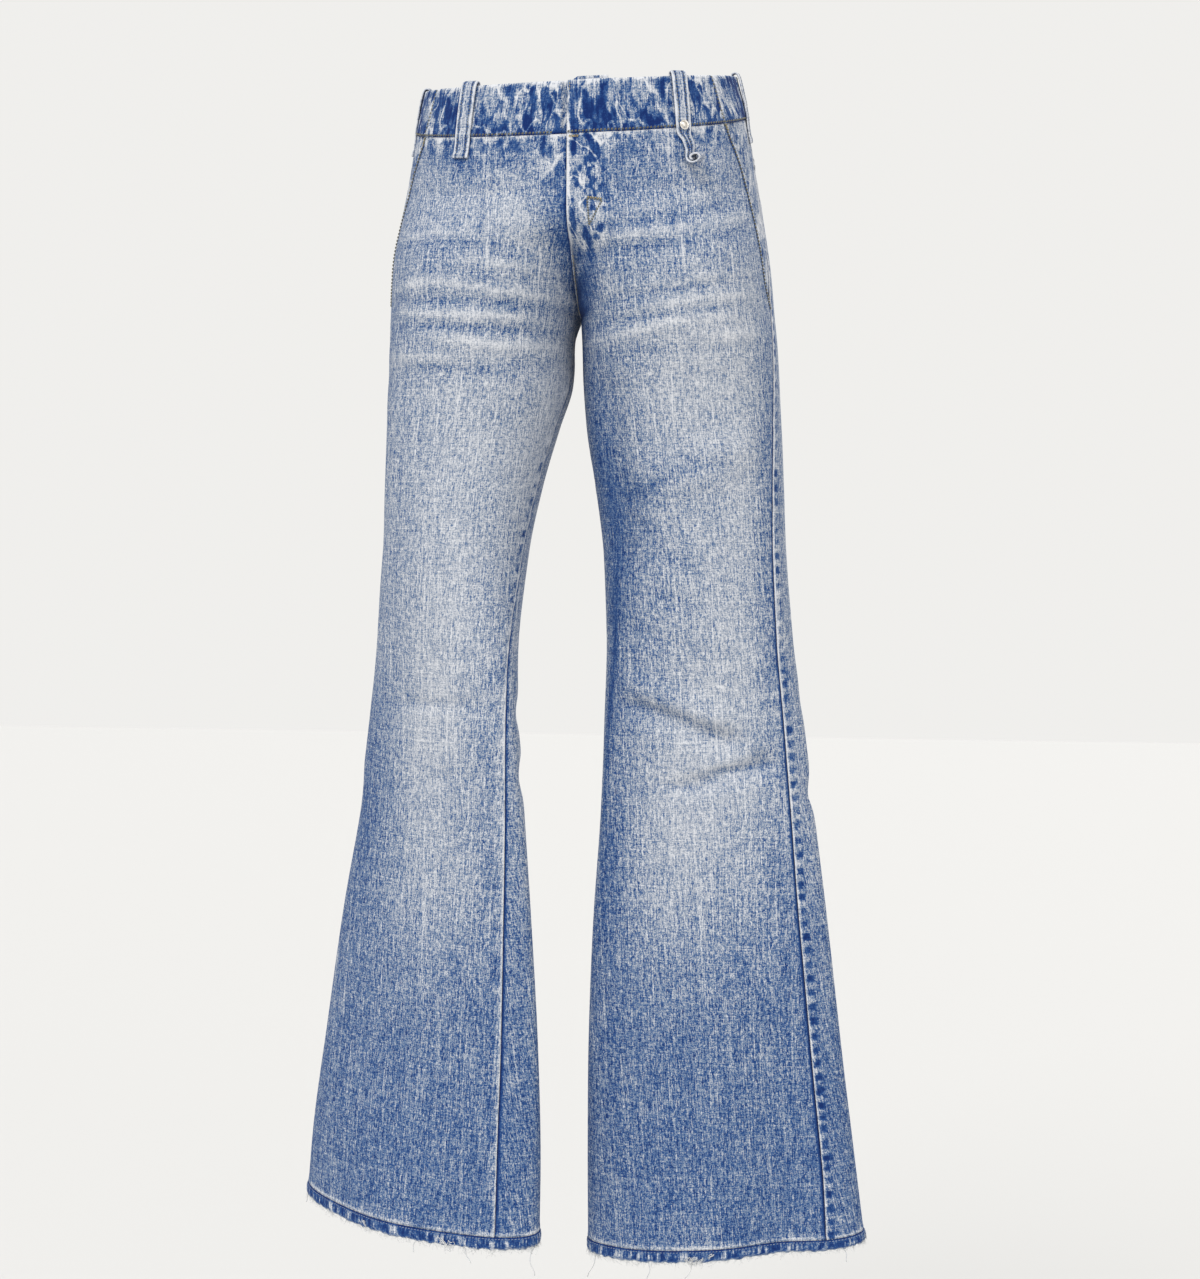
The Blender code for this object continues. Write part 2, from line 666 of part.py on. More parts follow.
def curl():
    """The curled end: its reach and out round a shrinking circle."""
    turn = np.radians(np.linspace(*CURL_TURN, CURL_STEPS))
    radius = np.linspace(*CURL_RADIUS, CURL_STEPS)
    return {"reach": CURL_CENTRE[0] - radius * np.sin(turn), "out": CURL_CENTRE[1] + radius * np.cos(turn)}


# Each loop: where it starts on the waist's edge, how far it slants to the back (mm per mm
# of reach), and how far its end bends from where it is fixed.
LOOPS = {
    "belt_loop_front_right": (RIGHT, -0.585, 0.03, 0.0, (LOOP_END,)),
    "belt_loop_front_left": (LEFT, -0.545, -0.03, 0.45, (LOOSE_END, curl())),
    "belt_loop_side_right": (RIGHT, -0.02, 0.0, 0.0, (LOOP_END,)),
    "belt_loop_side_left": (LEFT, -0.02, 0.0, 0.0, (LOOP_END,)),
}
BEND_REACH = 38.0
BEND_LENGTH = 10.0
LOOP_COLUMNS = np.array([-0.5, 0.0, 0.5]) * LOOP_WIDTH


def loop_places(slant, bend, ends):
    """Each point's drop, its shift to the back and its distance out."""
    reach = np.concatenate([LOOP_PATH["reach"]] + [end["reach"] for end in ends])[:, None]
    out = np.concatenate([LOOP_PATH["out"]] + [end["out"] for end in ends])[:, None]
    past = np.maximum(reach - BEND_REACH, 0.0)
    tilt = np.arctan(slant + bend * step_down(-past, -BEND_LENGTH, 0.0))
    shift = slant * np.minimum(reach, BEND_REACH) + past * np.sin(tilt) + LOOP_COLUMNS * np.cos(tilt)
    drop = np.where(past > 0, BEND_REACH + past * np.cos(tilt), reach) - LOOP_COLUMNS * np.sin(tilt)
    return drop, shift, out + 0 * drop


def belt_loop(name, side, part_round, slant, bend, ends):
    drop, shift, out = loop_places(slant, bend, ends)
    strap(name, cloth_point(side, drop, part_round, out, shift), LOOP_CLOTH, PALE_DENIM)


def belt_loop_back(name):
    """The middle loop, half on each side of the back."""
    drop, shift, out = loop_places(0.0, 0.0, (LOOP_END,))
    left = cloth_point(LEFT, drop, 1.0, out, np.minimum(-shift, 0.0))
    right = cloth_point(RIGHT, drop, 1.0, out, np.minimum(shift, 0.0))
    middle = (left + right) / 2
    centre = np.where(shift[..., None] < 0, right, np.where(shift[..., None] > 0, left, middle))
    strap(name, centre, LOOP_CLOTH, PALE_DENIM)


RIVET = table("radius height", (4.1, 0.0), (4.1, 0.5), (3.2, 1.2), (2.0, 1.5), (1.9, 2.1), (1.0, 2.6))
RIVET_REACH = 34.5
RIVET_SIDES = 16
STRAP_OUT_AT_RIVET = 2.35


def loop_rivet(name):
    """A small domed rivet on the left front loop, at the waistband's seam."""
    side, part_round, slant = LOOPS["belt_loop_front_left"][:3]
    base_out = STRAP_OUT_AT_RIVET + LOOP_CLOTH / 2 + GAP
    place = (side, RIVET_REACH, part_round)
    centre = cloth_point(*place, base_out, slant * RIVET_REACH)
    axis = outward(*place, slant * RIVET_REACH)
    aside = np.cross(axis, (0.0, 0.0, 1.0))
    aside = aside / np.linalg.norm(aside)
    up = np.cross(aside, axis)
    turn = np.arange(RIVET_SIDES) * 2 * math.pi / RIVET_SIDES
    circle = np.cos(turn)[:, None] * aside + np.sin(turn)[:, None] * up
    rings = [centre + axis * h + circle * r for r, h in zip(RIVET["radius"], RIVET["height"])]
    count = RIVET_SIDES
    faces = [tuple(range(count)), tuple(range((len(rings) - 1) * count, len(rings) * count))]
    for i in range(len(rings) - 1):
        for j in range(count):
            k = (j + 1) % count
            faces.append((i * count + j, i * count + k, (i + 1) * count + k, (i + 1) * count + j))
    add_solid(name, np.concatenate(rings), faces, NICKEL, roughness=0.3, metallic=1.0)


# Fray

STRANDS = 44
STRAND_WIDTH = 0.9
STRAND_TIP = 0.5
STRIP_FACES = (-0.3, -1.3)
STRIP_HEIGHT = 1.4
SHORT_STRAND = (3.0, 7.0)
LONG_STRANDS = {LEFT: {3: 13, 11: 20, 17: 12, 22: 17, 35: 14}, RIGHT: {2: 15, 8: 11, 20: 16, 31: 12, 41: 18}}


def fray(side, name):
    """Loose weft threads of the raw hem, on a narrow strip of yarn just under its edge."""
    random = np.random.default_rng(11 + side)
    count = STRANDS
    rounds = np.repeat(round_ring(count) + 1.0 / count, 2)
    shifts = np.tile([-STRAND_WIDTH / 2, STRAND_WIDTH / 2], count)
    top = hem_drop(side) + GAP
    corners = [(top, STRIP_FACES[0]), (top, STRIP_FACES[1]),
               (top + STRIP_HEIGHT, STRIP_FACES[1]), (top + STRIP_HEIGHT, STRIP_FACES[0])]
    rings = [cloth_point(side, drop, rounds, out, shifts) for drop, out in corners]
    points = np.stack(rings, axis=1).reshape(-1, 3)
    length = random.uniform(*SHORT_STRAND, count)
    for strand, long_length in LONG_STRANDS[side].items():
        length[strand] = long_length
    lean = random.normal(0.0, 0.25, count) * length
    out = np.mean(STRIP_FACES) + random.normal(0.0, 0.15, count) * length
    tip_drop = top + STRIP_HEIGHT + length
    thin = STRAND_TIP / 2
    tips = [cloth_point(side, tip_drop, rounds[::2], out + dy, lean + dx)
            for dx, dy in ((-thin, thin), (-thin, -thin), (thin, -thin), (thin, thin))]
    tip_start = len(points)
    points = np.concatenate([points, np.stack(tips, axis=1).reshape(-1, 3)])
    faces = []
    for k in range(count):
        here, there, after = 8 * k, 8 * k + 4, 8 * ((k + 1) % count)
        for first, second in ((0, 1), (1, 2), (3, 0)):
            faces.append((here + first, here + second, there + second, there + first))
        for first, second in ((0, 1), (1, 2), (2, 3), (3, 0)):
            faces.append((there + first, there + second, after + second, after + first))
        tip = tip_start + 4 * k
        root = (here + 3, here + 2, there + 2, there + 3)
        for j in range(4):
            faces.append((root[j], root[(j + 1) % 4], tip + (j + 1) % 4, tip + j))
        faces.append((tip, tip + 1, tip + 2, tip + 3))
    add_solid(name, points, faces, THREAD)


def build():
    for old in list(bpy.data.objects):
        bpy.data.objects.remove(old)
    for side, hand in ((LEFT, "left"), (RIGHT, "right")):
        front(side, f"front_{hand}")
        back(side, f"back_{hand}")
        yoke(side, f"yoke_{hand}")
        pocket_facing(side, f"pocket_facing_{hand}")
        hem(side, f"hem_{hand}")
        fray(side, f"fray_{hand}")
    waistband_left_front("waistband_left_front")
    waistband_right_front("waistband_right_front")
    waistband_back("waistband_back")
    fly_shield("fly_shield")
    zip_tape("zip")
    waist_hook("waist_hook")
    for name, placing in LOOPS.items():
        belt_loop(name, *placing)
    belt_loop_back("belt_loop_back")
    loop_rivet("loop_rivet")


build()
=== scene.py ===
# %% [markdown]
# # Low-rise bootcut jeans
#
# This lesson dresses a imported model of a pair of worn-in jeans. The model gives the
# cut pieces as plain solids; here each one becomes fine cloth with its weave, fading,
# creases, sewing and frayed edges. Lengths are in millimetres in the tables and become
# metres when a mesh is made. The front faces -Y, and left and right are the wearer's.

# %% Load the model
import math

import bmesh
import bpy
import numpy as np
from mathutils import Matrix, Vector


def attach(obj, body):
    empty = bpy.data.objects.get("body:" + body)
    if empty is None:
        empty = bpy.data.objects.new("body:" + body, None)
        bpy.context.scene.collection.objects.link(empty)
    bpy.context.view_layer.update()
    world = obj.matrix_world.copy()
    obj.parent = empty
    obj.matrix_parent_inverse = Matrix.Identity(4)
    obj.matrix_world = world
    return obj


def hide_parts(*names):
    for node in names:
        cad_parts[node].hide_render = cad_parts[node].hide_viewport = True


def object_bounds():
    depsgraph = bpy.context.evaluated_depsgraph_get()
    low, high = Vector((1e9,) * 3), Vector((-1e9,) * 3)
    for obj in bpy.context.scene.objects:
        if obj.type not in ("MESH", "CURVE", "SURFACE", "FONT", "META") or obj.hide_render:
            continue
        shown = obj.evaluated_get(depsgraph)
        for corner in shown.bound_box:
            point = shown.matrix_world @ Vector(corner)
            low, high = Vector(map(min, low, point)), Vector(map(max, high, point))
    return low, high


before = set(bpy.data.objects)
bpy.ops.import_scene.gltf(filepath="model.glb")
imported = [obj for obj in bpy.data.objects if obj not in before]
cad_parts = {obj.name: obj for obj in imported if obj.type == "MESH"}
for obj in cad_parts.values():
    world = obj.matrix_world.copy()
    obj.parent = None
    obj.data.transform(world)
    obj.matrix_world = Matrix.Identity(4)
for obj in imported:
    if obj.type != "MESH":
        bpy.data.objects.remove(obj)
CAD_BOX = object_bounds()
bpy.ops.object.select_all(action="DESELECT")
MM = 0.001
LEFT, RIGHT = 1, -1
HANDS = {LEFT: "left", RIGHT: "right"}
print("loaded", len(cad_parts), "pieces")

# %% [markdown]
# ## Camera and room
#
# The photograph was taken from a little to the wearer's left, from the height of the
# thighs, tilted slightly down. The camera's place is worked out from its direction, its
# distance and the pixel on which the waist's middle falls. The room is a plain pale
# floor under a pale, even light, so that the blues read true.

# %% Camera
FRAME_SIZE = (1200, 1279)
WAIST_PIXEL = (581, 85)
CAMERA_AZIMUTH = math.radians(6.0)
CAMERA_PITCH = math.radians(5.5)
CAMERA_DISTANCE = 1.90
LENS, SENSOR = 60.0, 36.0


def make_camera():
    """Places the camera so that the waist's middle falls on its pixel."""
    focal = LENS / SENSOR * FRAME_SIZE[1]
    back = Vector((math.sin(CAMERA_AZIMUTH), -math.cos(CAMERA_AZIMUTH), 0.0))
    right = Vector((math.cos(CAMERA_AZIMUTH), math.sin(CAMERA_AZIMUTH), 0.0))
    ahead = -back * math.cos(CAMERA_PITCH) - Vector((0, 0, 1)) * math.sin(CAMERA_PITCH)
    up = right.cross(ahead)
    aside = (WAIST_PIXEL[0] - FRAME_SIZE[0] / 2) / focal
    below = (WAIST_PIXEL[1] - FRAME_SIZE[1] / 2) / focal
    # The waist lies at depth * (ahead + right * aside - up * below) from the camera.
    ray = ahead + right * aside - up * below
    depth = CAMERA_DISTANCE / -(ray @ back)
    made = bpy.data.cameras.new("camera")
    made.lens = LENS
    made.sensor_width = SENSOR
    made.clip_start = 0.05
    holder = bpy.data.objects.new("camera", made)
    bpy.context.collection.objects.link(holder)
    holder.location = -ray * depth
    holder.rotation_euler = ahead.to_track_quat("-Z", "Y").to_euler()
    bpy.context.scene.camera = holder
    return holder


camera = make_camera()
print("camera at", [round(x, 3) for x in camera.location])

# %% Room
FLOOR_BELOW_HEM = 0.5
FLOOR_SIZE = 14.0
FLOOR_COLOUR = (0.59, 0.587, 0.579)
SKY_COLOUR = (0.87, 0.862, 0.842, 1.0)


def flat_material(name, colour, roughness=0.9):
    """A plain even finish."""
    made = bpy.data.materials.new(name)
    made.use_nodes = True
    shader = made.node_tree.nodes["Principled BSDF"]
    shader.inputs["Base Color"].default_value = (*colour, 1.0)
    shader.inputs["Roughness"].default_value = roughness
    return made


def make_room():
    """A pale floor under a pale sky of almost the same brightness."""
    bpy.ops.mesh.primitive_plane_add(size=FLOOR_SIZE, location=(0, 0, CAD_BOX[0][2] - FLOOR_BELOW_HEM))
    floor = bpy.context.object
    floor.name = "floor"
    floor.data.materials.append(flat_material("pale_floor", FLOOR_COLOUR))
    world = bpy.data.worlds.new("pale_room")
    bpy.context.scene.world = world
    world.use_nodes = True
    background = world.node_tree.nodes["Background"]
    background.inputs["Color"].default_value = SKY_COLOUR


def soft_sun(name, place, strength, spread):
    """Even light from the direction of a place, with soft shadows."""
    lamp = bpy.data.lights.new(name, "SUN")
    lamp.energy = strength
    lamp.angle = math.radians(spread)
    holder = bpy.data.objects.new(name, lamp)
    bpy.context.collection.objects.link(holder)
    holder.rotation_euler = (-Vector(place)).to_track_quat("-Z", "Y").to_euler()


make_room()
soft_sun("key_sun", (-0.9, -1.9, 2.1), 1.45, 30)
soft_sun("fill_sun", (0.9, -2.4, 0.4), 0.70, 60)
soft_sun("back_sun", (0.8, 2.4, 1.8), 1.2, 40)
bpy.context.scene.view_settings.view_transform = "Standard"
print("room ready")

# %% [markdown]
# ## The form of the cloth
#
# Jeans that have been worn keep a body's form. Each height has one closed section: a
# squared ellipse for the trunk and one for each leg, which part at the crotch. A place
# on the cloth is its side, its drop below the waist's edge, and its round: -1 at the
# front's inner edge, 0 at the outseam and 1 at the back's inner edge. The same sizes
# shaped the solids, so the fine cloth lies exactly on them.

# %% Sizes of the form
WAISTBAND_HEIGHT = 36.0
CROTCH_DROP = 203.0
HEM_HEIGHT = 10.5
GAP = 0.3
PANEL_FACES = (0.0, -1.2)
WAISTBAND_FACES = (0.8, -2.2)
HEM_FACES = (0.9, -2.3)


def table(header, *rows):
    """A table's columns by name, each as an array."""
    return dict(zip(header.split(), np.array(rows, float).T))


TRUNK = table(
    "drop  reach_left reach_right  front back  out_seam  square  tip_x tip_y",
    (0,    135.5, 136,   -100, 106,    0,  2.25,  0.034, 0.120),
    (36,   144,   144,   -104, 114,    0,  2.25,  0.030, 0.190),
    (80,   152,   152,   -107, 125,   -2,  2.3,   0.018, 0.120),
    (120,  159.5, 160,   -108, 131,   -6,  2.3,   0.008, 0.050),
    (160,  166,   166,   -107, 130,  -10,  2.3,   0.0,   0.0),
    (203,  170.2, 168.2, -101, 117,  -14,  2.2,   0.0,   0.0),
)
PARTING = table(
    "above_crotch  share",
    (0, 1.0), (5, 0.990), (15, 0.971), (30, 0.937), (55, 0.835), (80, 0.530), (110, 0.0),
)
LEG_HEADER = "drop  centre half_width  front back  skew  in_seam out_seam  square  tip_x tip_y"
LEGS = {
    LEFT: table(
        LEG_HEADER,
        (203,   85.2, 85.0,  -101, 117,   0,    0, -14,  2.2,  0.0, 0.0),
        (225,   87.0, 85.6,   -95, 108,   0,   -2, -16,  2.2,  0.0, 0.0),
        (260,   88.6, 86.3,   -84, 92,    0,   -4, -19,  2.15, 0.0, 0.0),
        (300,   91.3, 85.9,   -75, 77,    0,   -5, -23,  2.1,  0.0, 0.0),
        (350,   96.3, 83.3,   -67, 67,    0,   -8, -27,  2.05, 0.0, 0.0),
        (410,  101.2, 81.1,   -60, 57,    0,  -11, -30,  2.0,  0.0, 0.0),
        (480,  105.7, 82.6,   -51, 44,    0,  -17, -33,  2.0,  0.0, 0.0),
        (550,  109.7, 88.3,   -41, 32,   -1,  -22, -36,  2.0,  0.0, 0.0),
        (640,  113.5, 95.7,   -33, 24,   -3,  -28, -38,  2.0,  0.0, 0.0),
        (740,  116.4, 105.6,  -31, 24,   -4,  -32, -40,  2.0,  0.0, 0.0),
        (850,  120.7, 114.4,  -34, 29,   -5,  -35, -40,  2.0,  0.0, 0.0),
        (950,  126.3, 121.2,  -38, 37,   -6,  -36, -40,  2.0,  0.03, 0.0),
        (1040, 131.7, 126.5,  -44, 47,   -7,  -37, -42,  2.0,  0.09, 0.0),
    ),
    RIGHT: table(
        LEG_HEADER,
        (203,   84.2, 84.0,  -101, 117,   0,    0, -14,  2.2,  0.0, 0.0),
        (225,   87.4, 81.9,   -97, 109,   0,    4, -11,  2.2,  0.0, 0.0),
        (260,   89.8, 81.9,   -90, 97,    2,    9, -6,   2.15, 0.0, 0.0),
        (300,   96.4, 76.9,   -85, 85,    4,   12, 0,    2.1,  0.0, 0.0),
        (350,  104.8, 71.4,   -81, 78,    8,   14, 7,    2.05, 0.0, 0.0),
        (410,  112.3, 67.3,   -78, 71,   14,   16, 15,   2.0,  0.0, 0.0),
        (480,  119.2, 68.0,   -75, 60,   28,   22, 24,   2.0,  0.0, 0.0),
        (550,  122.6, 72.8,   -71, 50,   41,   29, 31,   2.0,  0.0, 0.0),
        (640,  126.1, 81.7,   -66, 44,   50,   36, 36,   2.0,  0.0, 0.0),
        (740,  132.3, 94.1,   -64, 42,   54,   42, 40,   2.0,  0.0, 0.0),
        (850,  138.0, 105.3,  -66, 43,   53,   46, 42,   2.0,  0.0, 0.0),
        (950,  144.4, 113.7,  -70, 47,   49,   48, 42,   2.0,  0.01, 0.04),
        (1018, 148.5, 116.9,  -75, 53,   48,   48, 42,   2.0,  0.03, 0.13),
    ),
}
REACH = {LEFT: "reach_left", RIGHT: "reach_right"}
HEM_DROP = {side: LEGS[side]["drop"][-1] for side in LEGS}
print("hems at", HEM_DROP, "mm below the waist")

# %% [markdown]
# A section's measures are read from the tables by a curve that never overshoots, and a
# point on it is found by its share of the front's or the back's length. Many points
# share a height, so each height is worked out once.

# %% Points on the form


def smooth(at, places, values):
    """A smooth curve through a table's column that never overshoots its values."""
    steps = np.diff(places)
    slopes = np.diff(values) / steps
    before, after = slopes[:-1], slopes[1:]
    same_way = before * after > 0
    total = np.where(same_way, before + after, 1.0)
    inner = np.where(same_way, 2.0 * before * after / total, 0.0)
    tangents = np.concatenate(([slopes[0]], inner, [slopes[-1]]))
    at = np.clip(at, places[0], places[-1])
    k = np.clip(np.searchsorted(places, at, side="right") - 1, 0, len(steps) - 1)
    t = (at - places[k]) / steps[k]
    rise = values[k + 1] - values[k]
    start = tangents[k] * steps[k]
    end = tangents[k + 1] * steps[k]
    return values[k] + t * (start + t * (3 * rise - 2 * start - end + t * (start + end - 2 * rise)))


def section(side, drop):
    """Every measure of one side's section at each drop."""
    leg = LEGS[side]
    above = drop < CROTCH_DROP
    got = {name: smooth(drop, leg["drop"], leg[name]) for name in leg if name != "drop"}
    for name in ("front", "back", "out_seam", "square", "tip_x", "tip_y"):
        got[name] = np.where(above, smooth(drop, TRUNK["drop"], TRUNK[name]), got[name])
    share = smooth(CROTCH_DROP - drop, PARTING["above_crotch"], PARTING["share"])
    centre = leg["centre"][0] * share
    reach = smooth(drop, TRUNK["drop"], TRUNK[REACH[side]])
    got["half_width"] = np.where(above, reach - centre, got["half_width"])
    got["centre"] = np.where(above, centre, got["centre"])
    past = np.clip((centre - GAP / 2) / got["half_width"], -1.0, 1.0)
    rise_angle = np.arccos(-np.sign(past) * np.abs(past) ** (got["square"] / 2))
    turn = np.radians(got["in_seam"])
    got["start"] = np.where(above, -rise_angle, turn - math.pi)
    got["end"] = np.where(above, rise_angle, turn + math.pi)
    got["outseam"] = np.radians(got["out_seam"])
    got["skew"] = np.radians(got["skew"])
    return got


def section_xy(got, angle):
    """A point of a section, with x outwards from the middle plane."""

    def flat_power(value):
        """A signed power, which squares the ellipse."""
        return np.sign(value) * np.abs(value) ** (2.0 / got["square"])

    x = got["centre"] + got["half_width"] * flat_power(np.cos(angle))
    depth = (got["back"] - got["front"]) / 2
    y = (got["back"] + got["front"]) / 2 + depth * flat_power(np.sin(angle + got["skew"]))
    return x, y


ARC_STEPS = 64
BEND_WEIGHT = 36.0


def section_point(side, drop, part_round, shift):
    """Points at a share of the front or back half, and then a shift in mm to the back."""
    heights, at = np.unique(drop, return_inverse=True)
    got = {name: value[:, None] for name, value in section(side, heights).items()}
    steps = np.linspace(0, 1, ARC_STEPS + 1)
    start, outseam, end = got["start"], got["outseam"], got["end"]
    angles = np.hstack([start + (outseam - start) * steps, outseam + (end - outseam) * steps[1:]])
    x, y = section_xy(got, angles)
    lengths = np.hypot(np.diff(x), np.diff(y))
    heading = np.unwrap(np.arctan2(np.diff(y), np.diff(x)), axis=1)
    bends = np.pad(np.abs(np.diff(heading, axis=1)), ((0, 0), (1, 1)))
    weights = lengths + BEND_WEIGHT * (bends[:, :-1] + bends[:, 1:]) / 2
    weight_sum = np.pad(np.cumsum(weights, axis=1), ((0, 0), (1, 0)))
    length_sum = np.pad(np.cumsum(lengths, axis=1), ((0, 0), (1, 0)))
    middle, last = weight_sum[at, ARC_STEPS], weight_sum[at, -1]
    wanted = np.where(part_round < 0, (part_round + 1) * middle, middle + part_round * (last - middle))
    place = between(weight_sum, length_sum, wanted, at) + shift
    angle = between(length_sum, angles, place, at)
    here = {name: value[at, 0] for name, value in got.items()}
    x, y = section_xy(here, angle)
    pivot = np.where(drop < CROTCH_DROP, 0.0, here["centre"])
    z = -drop + here["tip_x"] * (x - pivot) * side + here["tip_y"] * y
    return np.stack([x * side, y, z], axis=-1)


def between(places, values, wanted, row):
    """Each point's value at its wanted place along its own row."""
    low = np.zeros(len(wanted), int)
    high = np.full(len(wanted), places.shape[1] - 1)
    while (high - low > 1).any():
        middle = (low + high) // 2
        up = places[row, middle] <= wanted
        low = np.where(up, middle, low)
        high = np.where(up, high, middle)
    share = (wanted - places[row, low]) / (places[row, low + 1] - places[row, low])
    return values[row, low] + share * (values[row, low + 1] - values[row, low])


def body_point(side, drop, part_round, shift=0.0):
    """Points on the body of the cloth before its folds; past its ends it runs on straight."""
    drop, part_round, shift = np.broadcast_arrays(
        np.asarray(drop, float), np.asarray(part_round, float), np.asarray(shift, float))
    shape = drop.shape
    drop, part_round, shift = drop.ravel(), part_round.ravel(), shift.ravel()
    inside = np.clip(drop, 0.0, HEM_DROP[side])
    near = np.clip(inside + np.where(drop < inside, 1.0, -1.0), 0.0, None)
    points = section_point(side, inside, part_round, shift)
    past = np.abs(drop - inside)
    if past.any():
        points = points + (points - section_point(side, near, part_round, shift)) * past[:, None]
    return points.reshape(shape + (3,))


def outward(side, drop, part_round, shift=0.0):
    """The unit direction straight out of the cloth."""
    part_round = np.asarray(part_round, float)
    across = (body_point(side, drop, np.minimum(part_round + 0.01, 1.0), shift)
              - body_point(side, drop, np.maximum(part_round - 0.01, -1.0), shift))
    down = (body_point(side, np.asarray(drop) + 1.0, part_round, shift)
            - body_point(side, np.asarray(drop) - 1.0, part_round, shift))
    normal = -side * np.cross(across, down)
    return normal / np.linalg.norm(normal, axis=-1, keepdims=True)


knee = body_point(LEFT, 500.0, np.linspace(-1, 1, 90))
print("left knee", round(float(np.linalg.norm(np.diff(knee, axis=0), axis=1).sum())), "mm round")

# %% [markdown]
# ## Folds and creases
#
# Worn cloth keeps a few big folds and many small creases. The big ones shaped the
# solids; the small ones are listed here: whiskers across the hips, wrinkles at
# the crotch and knees, and similar ones on the back. Each is a soft trough or ridge
# through two or more places, followed in short steps so that it keeps to the curved
# cloth. A crease that stands up rubs pale and a trough stays blue, most of all along
# its middle line, so each also has a fade.
# At the left knee the troughs' fade is partly painted shade.

# %% Folds and creases
FOLDS = table(
    "side  drop_a round_a height_a  drop_b round_b height_b  width",
    (LEFT,  524, -0.57, 4.0,    552, -0.27, 5.0,   13),
    (LEFT,  543, -0.54, -5.0,   572, -0.22, -7.5,  11),
    (LEFT,  612, -0.36, -4.5,   592, -0.09, -7.0,  10),
    (LEFT,  274, -0.69, -5.0,   398, -0.68, -6.0,  24),
    (LEFT,  342, -0.50, 3.0,    318, -0.20, 4.0,   18),
    (LEFT,  1040, -0.48, 4.0,   900, -0.48, 0.0,   40),
    (LEFT,  1040, -0.13, -16.0, 800, -0.16, 0.0,   38),
    (RIGHT, 290, -0.20, 2.0,    600, -0.25, 2.5,   26),
    (RIGHT, 542, -0.85, -2.0,   545, -0.50, -1.0,  13),
    (RIGHT, 1018, -0.68, 7.0,   860, -0.66, 0.0,   55),
    (LEFT,  222, 0.92, -5.0,    250, 0.35, -2.0,   15),
    (RIGHT, 222, 0.92, -5.0,    246, 0.38, -2.0,   15),
    (LEFT,  560, 0.75, -3.5,    540, 0.30, -3.0,   13),
    (LEFT,  606, 0.70, -3.0,    622, 0.25, -4.0,   14),
    (RIGHT, 548, 0.78, -3.0,    566, 0.30, -4.0,   13),
    (RIGHT, 604, 0.72, -4.0,    586, 0.28, -2.5,   14),
)
